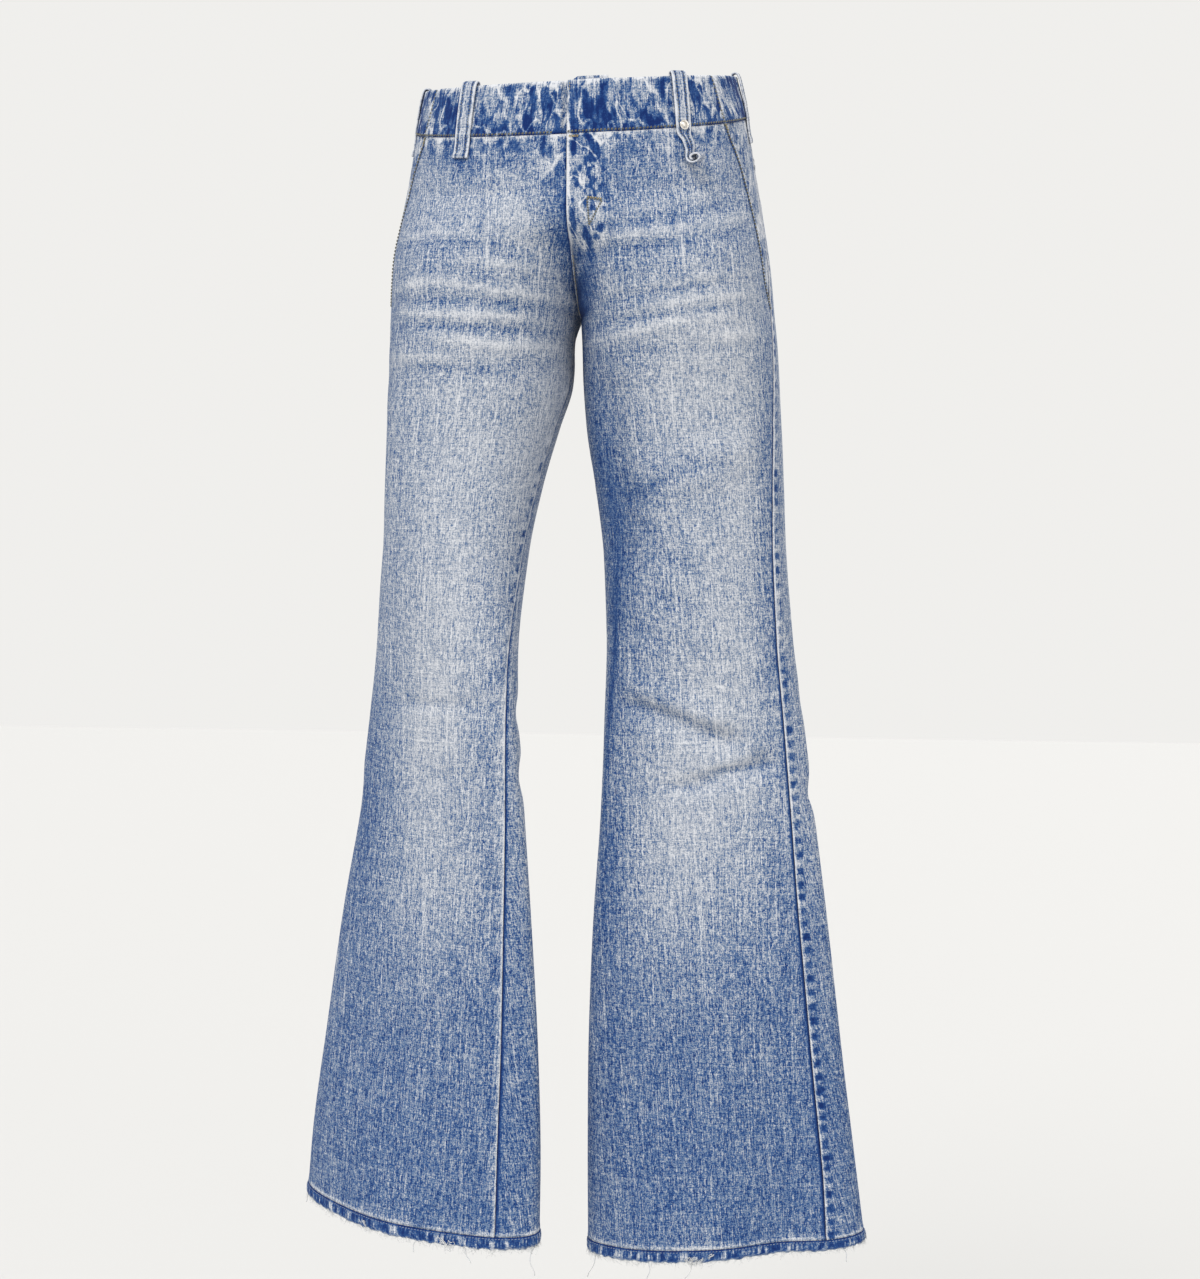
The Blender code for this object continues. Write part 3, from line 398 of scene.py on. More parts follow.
CREASES = (
    # side, height, width, fade (at the left knee partly painted shade), then the places it runs through as
    # drop and round
    # whiskers over the right hip
    (RIGHT, 0.6, 6.0, 0.25, (136, -0.26), (130, -0.46), (136, -0.66)),
    (RIGHT, 0.6, 5.5, 0.28, (158, -0.52), (163, -0.70), (167, -0.86)),
    (RIGHT, 0.9, 6.5, 0.41, (181, -0.14), (175, -0.41), (184, -0.62), (189, -0.88)),
    (RIGHT, 0.9, 7.0, 0.41, (199, -0.16), (204, -0.48), (207, -0.66)),
    (RIGHT, 1.0, 6.5, 0.33, (217, -0.28), (225, -0.48), (230, -0.62), (228, -0.90)),
    (RIGHT, 0.7, 6.5, 0.30, (237, -0.12), (239, -0.45)),
    # the blue troughs under them
    (RIGHT, -0.6, 6.5, -0.18, (144, -0.20), (140, -0.48), (147, -0.80)),
    (RIGHT, -0.9, 6.0, -0.30, (190, -0.16), (192, -0.50), (200, -0.88)),
    (RIGHT, -0.8, 6.0, -0.28, (211, -0.16), (215, -0.50), (217, -0.85)),
    (RIGHT, -0.6, 8.0, -0.20, (247, -0.25), (249, -0.55), (243, -0.85)),
    # whiskers over the left hip
    (LEFT, 0.7, 6.0, 0.23, (119, -0.88), (108, -0.66), (95, -0.40)),
    (LEFT, 1.0, 7.0, 0.33, (142, -0.94), (134, -0.64), (118, -0.22)),
    (LEFT, 0.5, 3.5, 0.20, (185, -0.82), (178, -0.54), (166, -0.15)),
    (LEFT, 0.9, 6.5, 0.31, (201, -0.60), (190, -0.36), (185, -0.13)),
    (LEFT, 1.0, 6.0, 0.34, (228, -0.84), (220, -0.60), (209, -0.42), (206, -0.24)),
    (LEFT, 0.7, 6.5, 0.24, (221, -0.36), (218, -0.05)),
    # the blue troughs between them
    (LEFT, -0.6, 6.0, -0.19, (130, -0.90), (121, -0.60), (106, -0.35)),
    (LEFT, -0.8, 7.0, -0.20, (154, -0.88), (147, -0.60), (134, -0.26)),
    (LEFT, -0.7, 5.0, -0.19, (194, -0.78), (185, -0.50), (176, -0.25)),
    (LEFT, -0.8, 6.0, -0.23, (213, -0.80), (205, -0.50), (197, -0.25)),
    (LEFT, -0.6, 8.0, -0.15, (244, -0.80), (234, -0.50), (231, -0.25)),
    # fans of small wrinkles at the crotch
    (LEFT, 0.8, 4.0, 0.25, (196, -0.985), (186, -0.90)),
    (LEFT, -0.8, 4.5, -0.20, (203, -0.96), (197, -0.82)),
    (RIGHT, 0.8, 4.0, 0.20, (192, -0.985), (180, -0.90)),
    (RIGHT, -0.8, 4.5, -0.25, (203, -0.96), (196, -0.86)),
    (LEFT, 0.9, 4.0, 0.40, (172, -0.99), (160, -0.93)),
    (LEFT, 0.9, 3.5, 0.40, (158, -0.985), (163, -0.935)),
    # the left knee's wrinkles, whose troughs' fade is partly painted shade, and the scratch above them
    (LEFT, 1.3, 6.0, 0.10, (534, -0.60), (544, -0.42), (562, -0.22)),
    (LEFT, -1.9, 6.0, -0.26, (540, -0.57), (550, -0.38), (570, -0.20)),
    (LEFT, -1.0, 3.5, -0.18, (562, -0.32), (578, -0.18)),
    (LEFT, -2.2, 3.6, -0.42, (612, -0.43), (616, -0.33), (610, -0.29), (600, -0.26), (594, -0.06)),
    (LEFT, 1.3, 5.0, 0.12, (606, -0.40), (588, -0.18)),
    (LEFT, 0.2, 1.6, 0.80, (520, -0.272), (522, -0.25), (524, -0.222)),
    (LEFT, -1.1, 8.0, -0.08, (470, -0.66), (476, -0.55), (488, -0.42)),
    (LEFT, -1.5, 8.0, -0.22, (364, -0.66), (342, -0.46), (328, -0.38), (328, -0.22)),
    (LEFT, 1.2, 9.0, 0.08, (352, -0.44), (342, -0.34), (344, -0.24)),
    (LEFT, -1.3, 8.0, -0.20, (378, -0.66), (384, -0.56), (404, -0.50), (422, -0.36)),
    (LEFT, -0.9, 7.0, -0.16, (438, -0.52), (456, -0.32)),
    # the right leg's soft lines
    (RIGHT, -1.0, 6.0, -0.10, (538, -0.82), (542, -0.50)),
    (RIGHT, 0.7, 6.0, 0.08, (548, -0.80), (551, -0.48)),
    (RIGHT, -0.8, 7.0, -0.05, (600, -0.86), (606, -0.74), (616, -0.60)),
    # behind: under the seat, behind the knees and along the back thighs
    (LEFT, 0.9, 6.0, 0.35, (214, 0.95), (222, 0.78), (238, 0.58)),
    (LEFT, 0.8, 6.5, 0.28, (232, 0.93), (240, 0.75), (258, 0.52)),
    (LEFT, 0.5, 7.0, 0.20, (206, 0.60), (222, 0.28)),
    (RIGHT, 0.9, 6.0, 0.35, (216, 0.95), (223, 0.76), (236, 0.57)),
    (RIGHT, 0.8, 7.0, 0.28, (236, 0.92), (242, 0.72), (254, 0.50)),
    (RIGHT, 0.5, 7.0, 0.20, (204, 0.58), (226, 0.26)),
    (LEFT, 1.0, 6.0, 0.30, (550, 0.82), (536, 0.60), (534, 0.38)),
    (LEFT, 0.9, 6.5, 0.30, (574, 0.80), (580, 0.55), (592, 0.28)),
    (LEFT, 0.8, 6.0, 0.22, (618, 0.64), (634, 0.20)),
    (RIGHT, 1.0, 6.5, 0.30, (538, 0.76), (548, 0.55), (558, 0.32)),
    (RIGHT, 0.9, 6.0, 0.30, (584, 0.82), (576, 0.60), (574, 0.34)),
    (RIGHT, 0.8, 6.0, 0.22, (616, 0.68), (600, 0.24)),
)


def line_distance(side, start, end, points):
    """How far each point lies from a line between two places, and how far along it."""
    start = body_point(side, *start)
    run = body_point(side, *end) - start
    along = np.clip((points - start) @ run / (run @ run), 0.0, 1.0)
    return np.linalg.norm(points - start - along[..., None] * run, axis=-1), along


def rows_of(rows, side):
    """A table's rows for one side, one at a time."""
    for k in np.flatnonzero(rows["side"] == side):
        yield {name: values[k] for name, values in rows.items()}


def fold_height(side, points):
    """How far the big folds push these points out."""
    total = np.zeros(points.shape[:-1])
    for fold in rows_of(FOLDS, side):
        start, end = ((fold[f"drop_{end}"], fold[f"round_{end}"]) for end in "ab")
        distance, along = line_distance(side, start, end, points)
        height = fold["height_a"] + along * (fold["height_b"] - fold["height_a"])
        total += height * np.exp(-(distance / fold["width"]) ** 2)
    return total


PLACES_PER_LEG = 3
CREASE_TIP = 0.03
BROAD_FADE_AND_SHADE, THIN_FADE_AND_SHADE, THIN_SHARE = 0.30, 0.50, 0.45


def close_places(places):
    """A crease's places with more between them, so that it keeps to the curved body."""
    given = np.arange(len(places))
    wanted = np.linspace(0, given[-1], PLACES_PER_LEG * given[-1] + 1)
    return np.stack([np.interp(wanted, given, values) for values in zip(*places)], axis=-1)


def crease_height(side, points):
    """The small creases' height, and how much each spot is faded by them, with painted shade in the left
    knee's troughs.
    """
    height, fade_and_shade = np.zeros((2,) + points.shape[:-1])
    for number, (its_side, high, wide, amount, *places) in enumerate(CREASES):
        if its_side != side:
            continue
        route = close_places(places)
        legs = [line_distance(side, *pair, points) for pair in zip(route, route[1:])]
        distance = np.min([leg[0] for leg in legs], axis=0)
        along = sum(leg[1] for leg in legs) / len(legs)
        # A crease dies away at both its ends, and is nowhere quite even.
        ends = np.sin(math.pi * (CREASE_TIP + (1 - 2 * CREASE_TIP) * along)) ** 0.45
        ends = ends * (1 + 0.30 * wander(9 * along, 1.0, 500 + number))
        shape = ends * np.exp(-(distance / wide) ** 2)
        thin = ends * np.exp(-(distance / (THIN_SHARE * wide)) ** 2)
        height += high * shape
        # The fade also holds the painted shade of the left knee's troughs.
        fade_and_shade += amount * (BROAD_FADE_AND_SHADE * shape + THIN_FADE_AND_SHADE * thin)
    return height, fade_and_shade


def ease(value, start, end):
    """0 up to the start, easing to 1 at the end; with the end first it falls instead."""
    t = np.clip((value - start) / (end - start), 0.0, 1.0)
    return t * t * (3 - 2 * t)


def wander(along, spacing, seed):
    """A smooth uneven line between -1 and 1, for puckers that are never quite regular."""
    knots = np.random.default_rng(seed).uniform(-1, 1, 4096)
    place = np.asarray(along, float) / spacing
    whole = np.floor(place).astype(int)
    t = place - whole
    t = t * t * (3 - 2 * t)
    return knots[whole % 4096] * (1 - t) + knots[(whole + 1) % 4096] * t


print(len(FOLDS["side"]), "folds and", len(CREASES), "creases")

# %% [markdown]
# ## Fading
#
# The jeans are bleached along the middle of each thigh and shin, and stay blue along
# the seams, at the fly and below the calf. The fading is laid in soft patches.
# Every point gets a wear from 0, deep blue, to 1, nearly white. A few patches are
# painted shade instead: in the crotch, along the left leg's inner edge and between the
# left thigh's folds. One patch on the right inner thigh is partly painted light.

# %% Fading
BASE_WEAR = table(
    "drop wear",
    (0, 0.52), (55, 0.48), (110, 0.515), (200, 0.535), (350, 0.54), (560, 0.54),
    (700, 0.485), (751, 0.435), (806, 0.40), (880, 0.378), (950, 0.36), (1040, 0.358),
)
# Besides the fading, some patches are painted shade and one is partly painted light.
FADES_AND_SHADES = table(
    "side  drop round  tall wide  amount",
    # the right thigh's and shin's pale column; the inner thigh's patch at drop 290 is pale cloth and also
    # painted light that lifts the shade there
    (RIGHT, 100, -0.52,  40, 0.22,   0.10),
    (RIGHT, 118, -0.80,  36, 0.12,   0.17),
    (RIGHT, 250, -0.50,  80, 0.26,   0.10),
    (RIGHT, 290, -0.94,  95, 0.15,   0.20),
    (RIGHT, 380, -0.58,  120, 0.24,  0.14),
    (RIGHT, 560, -0.66,  130, 0.18,  0.20),
    (RIGHT, 720, -0.76,  80, 0.16,   0.13),
    # its blue edges, and painted shade in the crotch at drop 145
    (RIGHT, 50,  -0.62,  16, 0.30,  -0.06),
    (RIGHT, 58,  -0.56,  12, 0.07,  -0.12),
    (RIGHT, 145, -0.98,  70, 0.06,  -0.26),
    (RIGHT, 375, -0.03,  120, 0.035, -0.20),
    (RIGHT, 420, -0.06,  200, 0.10, -0.14),
    (RIGHT, 640, -0.38,  110, 0.22, -0.18),
    # the left thigh's and shin's pale column
    (LEFT,  65,  -0.70,  25, 0.12,   0.07),
    (LEFT,  95,  -0.45,  40, 0.22,   0.05),
    (LEFT,  180, -0.50,  50, 0.30,   0.05),
    (LEFT,  225, -0.28,  55, 0.16,   0.07),
    (LEFT,  270, -0.40,  90, 0.20,   0.14),
    (LEFT,  340, -0.17,  110, 0.09,  0.14),
    (LEFT,  400, -0.36,  110, 0.16,  0.08),
    (LEFT,  520, -0.24,  100, 0.17,  0.12),
    (LEFT,  600, -0.14,  90, 0.10,   0.06),
    (LEFT,  640, -0.36,  90, 0.20,   0.18),
    (LEFT,  740, -0.36,  60, 0.20,   0.08),
    # its blue edges, and painted shade: in the crotch at drop 195, along the leg's inner edge and between the
    # thigh's folds
    (LEFT,  60,  -0.80,  40, 0.14,  -0.08),
    (LEFT,  195, -0.94,  50, 0.10,  -0.42),
    (LEFT,  328, -0.34,  24, 0.14,  -0.06),
    (LEFT,  330, -0.80,  100, 0.14, -0.20),
    (LEFT,  352, -0.56,  16, 0.13,  -0.12),
    (LEFT,  400, -0.05,  220, 0.08, -0.08),
    (LEFT,  400, -0.72,  110, 0.10, -0.06),
    (LEFT,  450, -0.72,  110, 0.12, -0.11),
    (LEFT,  540, -0.72,  110, 0.03, -0.28),
    (LEFT,  600, -0.62,  110, 0.10, -0.05),
    (LEFT,  700, -0.64,  90, 0.10,  -0.16),
    # the seat, the back thighs and the calves
    (LEFT,  140, 0.55,   60, 0.26,   0.18),
    (RIGHT, 140, 0.55,   60, 0.26,   0.18),
    (LEFT,  330, 0.50,   130, 0.22,  0.12),
    (RIGHT, 330, 0.50,   130, 0.22,  0.12),
    (LEFT,  640, 0.50,   120, 0.22,  0.14),
    (RIGHT, 640, 0.50,   120, 0.22,  0.14),
)
CREASE_WEAR_AND_SHADE = 0.75


def wear_and_shade_at(side, drop, part_round, fade_and_shade):
    """The wear and painted shade of each point: its height's own, the patches, and the creases' fade."""
    total = smooth(drop, BASE_WEAR["drop"], BASE_WEAR["wear"])
    for patch in rows_of(FADES_AND_SHADES, side):
        down = (drop - patch["drop"]) / patch["tall"]
        aside = (part_round - patch["round"]) / patch["wide"]
        total = total + patch["amount"] * np.exp(-(down ** 2 + aside ** 2))
    return total + CREASE_WEAR_AND_SHADE * fade_and_shade


print(len(FADES_AND_SHADES["side"]), "faded patches")

# %% [markdown]
# ## A piece of cloth
#
# Each piece starts as a grid of places: rows down the cloth and columns across it. The
# grid gives the outer face, and the same grid moved inwards gives the inner one, so the
# wall is closed and nowhere thicker than denim. Its own map holds the distances across
# and down the cloth in metres, which is what the weave follows. The wear with its painted
# shade and light, the puckers and the marbling are kept on the points for the dye to read.

# %% Cloth helpers


def grid_of(side, drops, rounds, shifts=0.0):
    """The places of a piece of cloth on one side, as arrays of one shape."""
    drops, rounds, shifts = np.broadcast_arrays(
        np.asarray(drops, float), np.asarray(rounds, float), np.asarray(shifts, float))
    return {"side": side, "drop": drops, "round": rounds, "shift": shifts}


def run_lengths(points, axis):
    """Distances along the rows or down the columns of a grid, from its first edge."""
    steps = np.linalg.norm(np.diff(points, axis=axis), axis=-1)
    return np.pad(np.cumsum(steps, axis=axis), ((1, 0), (0, 0)) if axis == 0 else ((0, 0), (1, 0)))


def lay(grid):
    """A grid's points on the body, their directions out, folds, creases and map."""
    side, drop, part_round, shift = grid["side"], grid["drop"], grid["round"], grid["shift"]
    body = body_point(side, drop, part_round, shift)
    height, fade_and_shade = crease_height(side, body)
    grid["body"] = body
    grid["out"] = outward(side, drop, part_round, shift)
    grid["lift"] = fold_height(side, body) + height
    grid["wear"] = wear_and_shade_at(side, drop, part_round, fade_and_shade)
    grid["pucker"] = np.zeros(drop.shape)
    grid["marble"] = np.zeros(drop.shape)
    grid["map"] = np.stack([side * grain_across(side, body, drop, part_round), -drop], axis=-1)
    return grid


CREASE_KNOTS = np.arange(0.0, 1041.0, 20.0)


def crease_reach(side, end):
    """How far the pressed crease of the front (end -1) or back lies from the outseam."""
    got = section(side, CREASE_KNOTS)
    wanted = np.where(CREASE_KNOTS < CROTCH_DROP, 74.0 + 0.05 * CREASE_KNOTS, got["centre"])
    rows = body_point(side, CREASE_KNOTS[:, None], np.linspace(0, end, 60))
    reach = np.abs(rows[..., 0])
    along = run_lengths(rows, 1)
    return np.array([np.interp(w, r[::-1], a[::-1]) for w, r, a in zip(wanted, reach, along)])


def grain_across(side, body, drop, part_round):
    """Distance across the grain, which runs down the middle of the front or back."""
    across = run_lengths(body, 1)
    if part_round[0, 0] == part_round[0, -1]:
        return across
    to_first = body_point(side, drop[:, :1], part_round[:, :1] * np.linspace(0, 1, 30))
    start = run_lengths(to_first, 1)[:, [-1]] * np.sign(part_round[:, :1])
    front, back = (np.interp(drop, CREASE_KNOTS, crease_reach(side, end)) for end in (-1.0, 1.0))
    return start + across + np.where(part_round < 0, front, -back)


def graded(count, evenness):
    """Shares from 0 to 1 that lie closer together at both ends."""
    share = np.linspace(0, 1, count)
    return share - (1 - evenness) * np.sin(2 * math.pi * share) / (2 * math.pi)


def set_values(mesh, name, values):
    """Keeps a number on each point of a mesh, for the dye to read."""
    kept = mesh.attributes.new(name, "FLOAT", "POINT")
    kept.data.foreach_set("value", np.asarray(values, np.float32).ravel())


def cloth(name, grid, faces, material, relief=0.0, ring=False):
    outer = grid["body"] + grid["out"] * (grid["lift"] + faces[0] + relief)[..., None]
    inner = grid["body"] + grid["out"] * (grid["lift"] + faces[1] + 0.3 * relief)[..., None]
    grid["outer"] = outer
    rows, columns = outer.shape[:2]
    count = rows * columns
    index = np.arange(count).reshape(rows, columns)
    left, right = index[:, :-1], index[:, 1:]
    quads = np.stack([left[:-1], right[:-1], right[1:], left[1:]], axis=-1).reshape(-1, 4)
    rims = [np.stack([left[0], left[0] + count, right[0] + count, right[0]], axis=-1)]
    rims.append(np.stack([right[-1], right[-1] + count, left[-1] + count, left[-1]], axis=-1))
    if not ring:
        first, last = index[:, 0], index[:, -1]
        rims.append(np.stack([first[1:], first[1:] + count, first[:-1] + count, first[:-1]], axis=-1))
        rims.append(np.stack([last[:-1], last[:-1] + count, last[1:] + count, last[1:]], axis=-1))
    faces_all = np.concatenate([quads, quads[:, ::-1] + count] + rims)
    mesh = bpy.data.meshes.new(name)
    points = np.concatenate([outer.reshape(-1, 3), inner.reshape(-1, 3)]) * MM
    mesh.from_pydata(points.tolist(), [], faces_all.tolist())
    corner = np.empty(len(mesh.loops), np.int32)
    mesh.loops.foreach_get("vertex_index", corner)
    places = grid["map"].reshape(-1, 2)
    mesh.uv_layers.new(name="cloth").data.foreach_set(
        "uv", (places[corner % count] * MM).astype(np.float32).ravel())
    for key in ("wear", "pucker", "marble"):
        set_values(mesh, key, np.tile(grid[key].ravel(), 2))
    set_values(mesh, "inside", np.repeat([0.0, 1.0], count))
    mesh.materials.append(material)
    piece = bpy.data.objects.new(name, mesh)
    bpy.context.collection.objects.link(piece)
    form = bmesh.new()
    form.from_mesh(mesh)
    if ring:
        # The last column lies on the first, and the two become one.
        bmesh.ops.remove_doubles(form, verts=form.verts, dist=1e-6)
    bmesh.ops.recalc_face_normals(form, faces=form.faces)
    form.to_mesh(mesh)
    form.free()
    mesh.shade_smooth()
    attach(piece, "root")
    declare_sheet(piece, grid["body"])
    return piece


# The least and most of its width times its length that a cut may fill.
CUT_FILLS = (0.31, 1.0)


def declare_sheet(piece, body):
    """States the flat cut of a piece: its widest row, its longest column and its area."""
    width = run_lengths(body, 1)[:, -1].max() * MM
    length = run_lengths(body, 0)[-1].max() * MM
    across = np.diff(body, axis=1)[:-1]
    down = np.diff(body, axis=0)[:, :-1]
    area = np.linalg.norm(np.cross(across, down), axis=-1).sum() * MM * MM
    least, most = (share * width * length for share in CUT_FILLS)
    area = float(np.clip(area, least, most))
    print(f"{piece.name}: {width * 1000:.0f} x {length * 1000:.0f} mm, {area * 1e4:.0f} cm2")


print("cloth helpers ready")

# %% [markdown]
# ## Shader maths
#
# A shader is a net of nodes. To keep the maths readable, one small class wraps a
# node's output, so that a sum of two wires adds a Math node by itself. Every other node
# comes from its node() method.

# %% Wires


class Wire:
    """One output of a shader node, on which Python's operators add Math nodes."""

    def __init__(self, tree, socket=None):
        self.tree = tree
        self.socket = socket

    def node(self, kind, values=(), output=0, stops=(), **settings):
        """Adds any node: its settings first, then the values or links of its sockets."""
        made = self.tree.nodes.new(kind)
        for name, value in settings.items():
            setattr(made, name, value)
        if stops:
            bands = made.color_ramp.elements
            while len(bands) < len(stops):
                bands.new(0.5)
            for band, (place, colour) in zip(bands, stops):
                band.position = place
                band.color = (*colour, 1.0)
        for key, value in dict(values).items():
            if isinstance(value, Wire):
                self.tree.links.new(value.socket, made.inputs[key])
            else:
                made.inputs[key].default_value = value
        return Wire(self.tree, made.outputs[output])

    def maths(self, operation, *values):
        """One Math node."""
        return self.node("ShaderNodeMath", dict(enumerate(values)), operation=operation)

    def __add__(self, other):
        return self.maths("ADD", self, other)

    def __sub__(self, other):
        return self.maths("SUBTRACT", self, other)

    def __rsub__(self, other):
        return self.maths("SUBTRACT", other, self)

    def __mul__(self, other):
        return self.maths("MULTIPLY", self, other)

    __radd__ = __add__
    __rmul__ = __mul__

    def clamp(self):
        """Keeps the value between 0 and 1."""
        return self.node("ShaderNodeClamp", {0: self})

    def between(self, low, high):
        """0 up to low, easing to 1 at high."""
        return self.node(
            "ShaderNodeMapRange", {0: self, 1: low, 2: high}, interpolation_type="SMOOTHSTEP")

    def point_value(self, name):
        """A number kept on the mesh's points."""
        return self.node("ShaderNodeAttribute", output="Fac", attribute_name=name)

    def noise(self, across, down, detail=2.0, roughness=0.5):
        """Uneven grain on a map in metres, with so many grains per metre each way."""
        place = self.node("ShaderNodeMapping", {"Vector": self, "Scale": (across, down, 1.0)})
        return self.node(
            "ShaderNodeTexNoise",
            {"Vector": place, "Scale": 1.0, "Detail": detail, "Roughness": roughness},
            noise_dimensions="2D")

    def floor(self):
        """The whole number below."""
        return self.maths("FLOOR", self)

    def one_axis(self, axis):
        """The x, y or z of a vector, as axis 0, 1 or 2."""
        return self.node("ShaderNodeSeparateXYZ", {0: self}, output=axis)

    def chance(self, other=0.0):
        """A value of its own, from 0 to 1, for each pair of whole numbers."""
        pair = self.node("ShaderNodeCombineXYZ", {0: self, 1: other})
        return self.node("ShaderNodeTexWhiteNoise", {"Vector": pair}, noise_dimensions="2D")

    def yarns(self, along, thickness, length):
        """Yarns side by side, each in uneven stretches: this wire counts them, along runs on."""
        yarn = (self * (1 / thickness)).floor()
        return yarn.chance((along * (1 / length) + yarn.chance(7.5) * 40.0).floor())


def new_material(name, roughness=0.9, metallic=0.0):
    """An empty Principled material: itself, its shader node and a first wire."""
    made = bpy.data.materials.new(name)
    made.use_nodes = True
    shader = made.node_tree.nodes["Principled BSDF"]
    shader.inputs["Roughness"].default_value = roughness
    shader.inputs["Metallic"].default_value = metallic
    return made, shader, Wire(made.node_tree)


def connect(wire, socket):
    """Links a wire to a socket of the shader."""
    wire.tree.links.new(wire.socket, socket)


print("wires ready")

# %% [markdown]
# ## Denim
#
# Denim is woven from blue warp yarns, which run down the leg, over white weft yarns.
# Worn and washed, each yarn shows in long and short stretches, a little bluer or whiter
# than its neighbours, more strongly down the cloth than across it. Here and there a
# thick, slubby yarn rubs pale for a few centimetres. The share of white follows the
# wear, which in places also carries painted shade and painted light. At puckered seams
# the high spots rub white and the low ones stay deep blue, so there the pucker decides.
# The tone runs through one ramp of blues.

# %% Denim
YARN, SLUB = 0.76 * MM, 1.0 * MM
BLUES = (
    (0.00, (0.004, 0.021, 0.115)),
    (0.25, (0.019, 0.067, 0.210)),
    (0.48, (0.142, 0.205, 0.312)),
    (0.58, (0.246, 0.282, 0.362)),
    (0.72, (0.380, 0.408, 0.462)),
    (1.00, (0.610, 0.622, 0.655)),
)


def denim(name):
    """The jeans' cloth. Its grain runs down the map."""
    made, shader, start = new_material(name, roughness=0.88)
    place = start.node("ShaderNodeUVMap", uv_map="cloth")
    wear = start.point_value("wear")
    pucker = start.point_value("pucker")
    marble = start.point_value("marble")
    inside = start.point_value("inside")
    # Yarns down and across the cloth in long and short stretches, and single crossings.
    across, down = place.one_axis(0), place.one_axis(1)
    warp = across.yarns(down, YARN, 20 * MM) * 0.35 + across.yarns(down, YARN, 3.4 * MM) * 0.65
    weft = down.yarns(across, YARN, 13 * MM) * 0.35 + down.yarns(across, YARN, 2.4 * MM) * 0.65
    crossing = across.yarns(down, YARN, 0.8 * MM)
    slubs = across.yarns(down, SLUB, 55 * MM).between(0.86, 0.97)
    slubs += down.yarns(across, SLUB, 40 * MM).between(0.90, 0.99) * 0.6
    yarns = warp * 0.72 + weft * 0.38 + crossing * 0.48 + slubs * 0.20 - 0.81
    # Marbling: deep blue patches and thin pale veins, only where the cloth is bunched.
    patches = place.noise(80.0, 38.0, 2.0, 0.55).between(0.42, 0.58) - 0.5
    swirl = place.noise(52.0, 30.0, 1.5, 0.5) - 0.5
    veins = (0.034 - swirl.maths("ABSOLUTE", swirl)).between(0.0, 0.030)
    marbled = (patches * 0.40 + veins * 0.34) * marble
    base = wear + pucker * 0.24 + marbled
    # Deep blue spots are not worn enough to show their white yarns, and in the palest
    # ones most of the blue is gone.
    tone = base + yarns * (0.30 + 0.52 * base.between(0.05, 0.45) - 0.16 * base.between(0.55, 0.75))
    colour = start.node("ShaderNodeValToRGB", {0: tone}, stops=BLUES)
    # The inner side shows more of the white weft.
    lining = start.node("ShaderNodeValToRGB", {0: yarns + 0.66}, stops=BLUES)
    shown = start.node(
        "ShaderNodeMix", {0: inside * 0.85, 6: colour, 7: lining}, output=2, data_type="RGBA")
    connect(shown, shader.inputs["Base Color"])
    grain = place.noise(700.0, 620.0, 0.0)
    height = place.noise(760.0, 40.0, 0.0) + place.noise(40.0, 700.0, 0.0) * 0.7 + grain
    bump = start.node(
        "ShaderNodeBump", {"Height": height, "Strength": 0.5, "Distance": 0.0006})
    connect(bump, shader.inputs["Normal"])
    shader.inputs["Sheen Weight"].default_value = 0.03
    shader.inputs["Sheen Roughness"].default_value = 0.6
    shader.inputs["Specular IOR Level"].default_value = 0.12
    return made


LEG_DENIM = denim("leg_denim")
BAND_DENIM = denim("band_denim")
print("denim ready")

# %% [markdown]
# ## Seams and edges
#
# Along a seam the hidden layers make a ridge on one side, which the thread draws in to
# blue and pale blocks: on the front at the inseam, and on the back at the outseam. The
# other side dips and stays dark, partly as painted shade in the dip. Folded edges, and
# the edges sewn into the waistband, rub nearly white. Where a seam or an edge runs for
# only a part of a side, its distance is set out of reach for the rest.

# %% Seam shapes
SEAM_WIDTH = 9.0
OUT_OF_REACH = 60.0


def soft_block(value, sharpness=2.2):
    """Turns an even wander into patches with a plain middle."""
    return np.tanh(sharpness * value)


def seam_relief(grid, away, along, seed, pitch=9.6, strength=1.0, height=0.5, pucker=0.45):
    """The ridge over a seam's hidden layers, drawn in by short dark puckers."""
    over = ease(away, 0.9, 2.0) * (1 - ease(away, SEAM_WIDTH - 3.0, SEAM_WIDTH))
    turn = 2 * math.pi * (along + 0.25 * away + 2.6 * wander(along, 21.0, seed)) / pitch
    dashes = strength * ease(np.cos(turn), -0.25, 0.25) * (0.80 + 0.35 * wander(along, 17.0, seed + 1))
    loose = wander(along, 7.0, seed + 2) * (1 - ease(away, SEAM_WIDTH - 2, SEAM_WIDTH + 2))
    grid["pucker"] += over * (0.35 - 1.85 * dashes) + 0.4 * loose
    ridge = 1 - ease(away, SEAM_WIDTH * 0.8, SEAM_WIDTH * 1.15)
    return height * ridge - pucker * over * dashes + 0.3 * loose


def sunk_seam(grid, away, depth=0.4, dark=0.50):
    """The flat side of a seam: the cloth dips beside the ridge and stays deep blue, partly as painted shade
    in the dip.
    """
    near = np.exp(-(away / 2.1) ** 2)
    # Partly painted shade: the dip is darkened as well as staying unworn.
    grid["wear"] -= dark * near
    return -depth * near


def edge_wear(grid, away, width=1.6, amount=0.5):
    """A folded or seamed edge rubs nearly white."""
    grid["wear"] += amount * np.exp(-(away / width) ** 2)


def under_the_band(grid, from_top):
    """The edge sewn into the waistband rubs pale, and is marbled just below it."""
    edge_wear(grid, from_top, width=1.8, amount=0.40)
    grid["marble"] += 0.8 * np.exp(-from_top / 12.0)


print("seam shapes ready")

# %% [markdown]
# ## Fronts
#
# A front runs from the waistband to the hem band. Its outer edge is cut away for the
# pocket mouth, a folded edge with a row of stitches in a groove. Under the waistband
# the cloth is gathered a little, which leaves short pale streaks. The left front laps
# over the right one at the fly, where it is bunched and marbled.

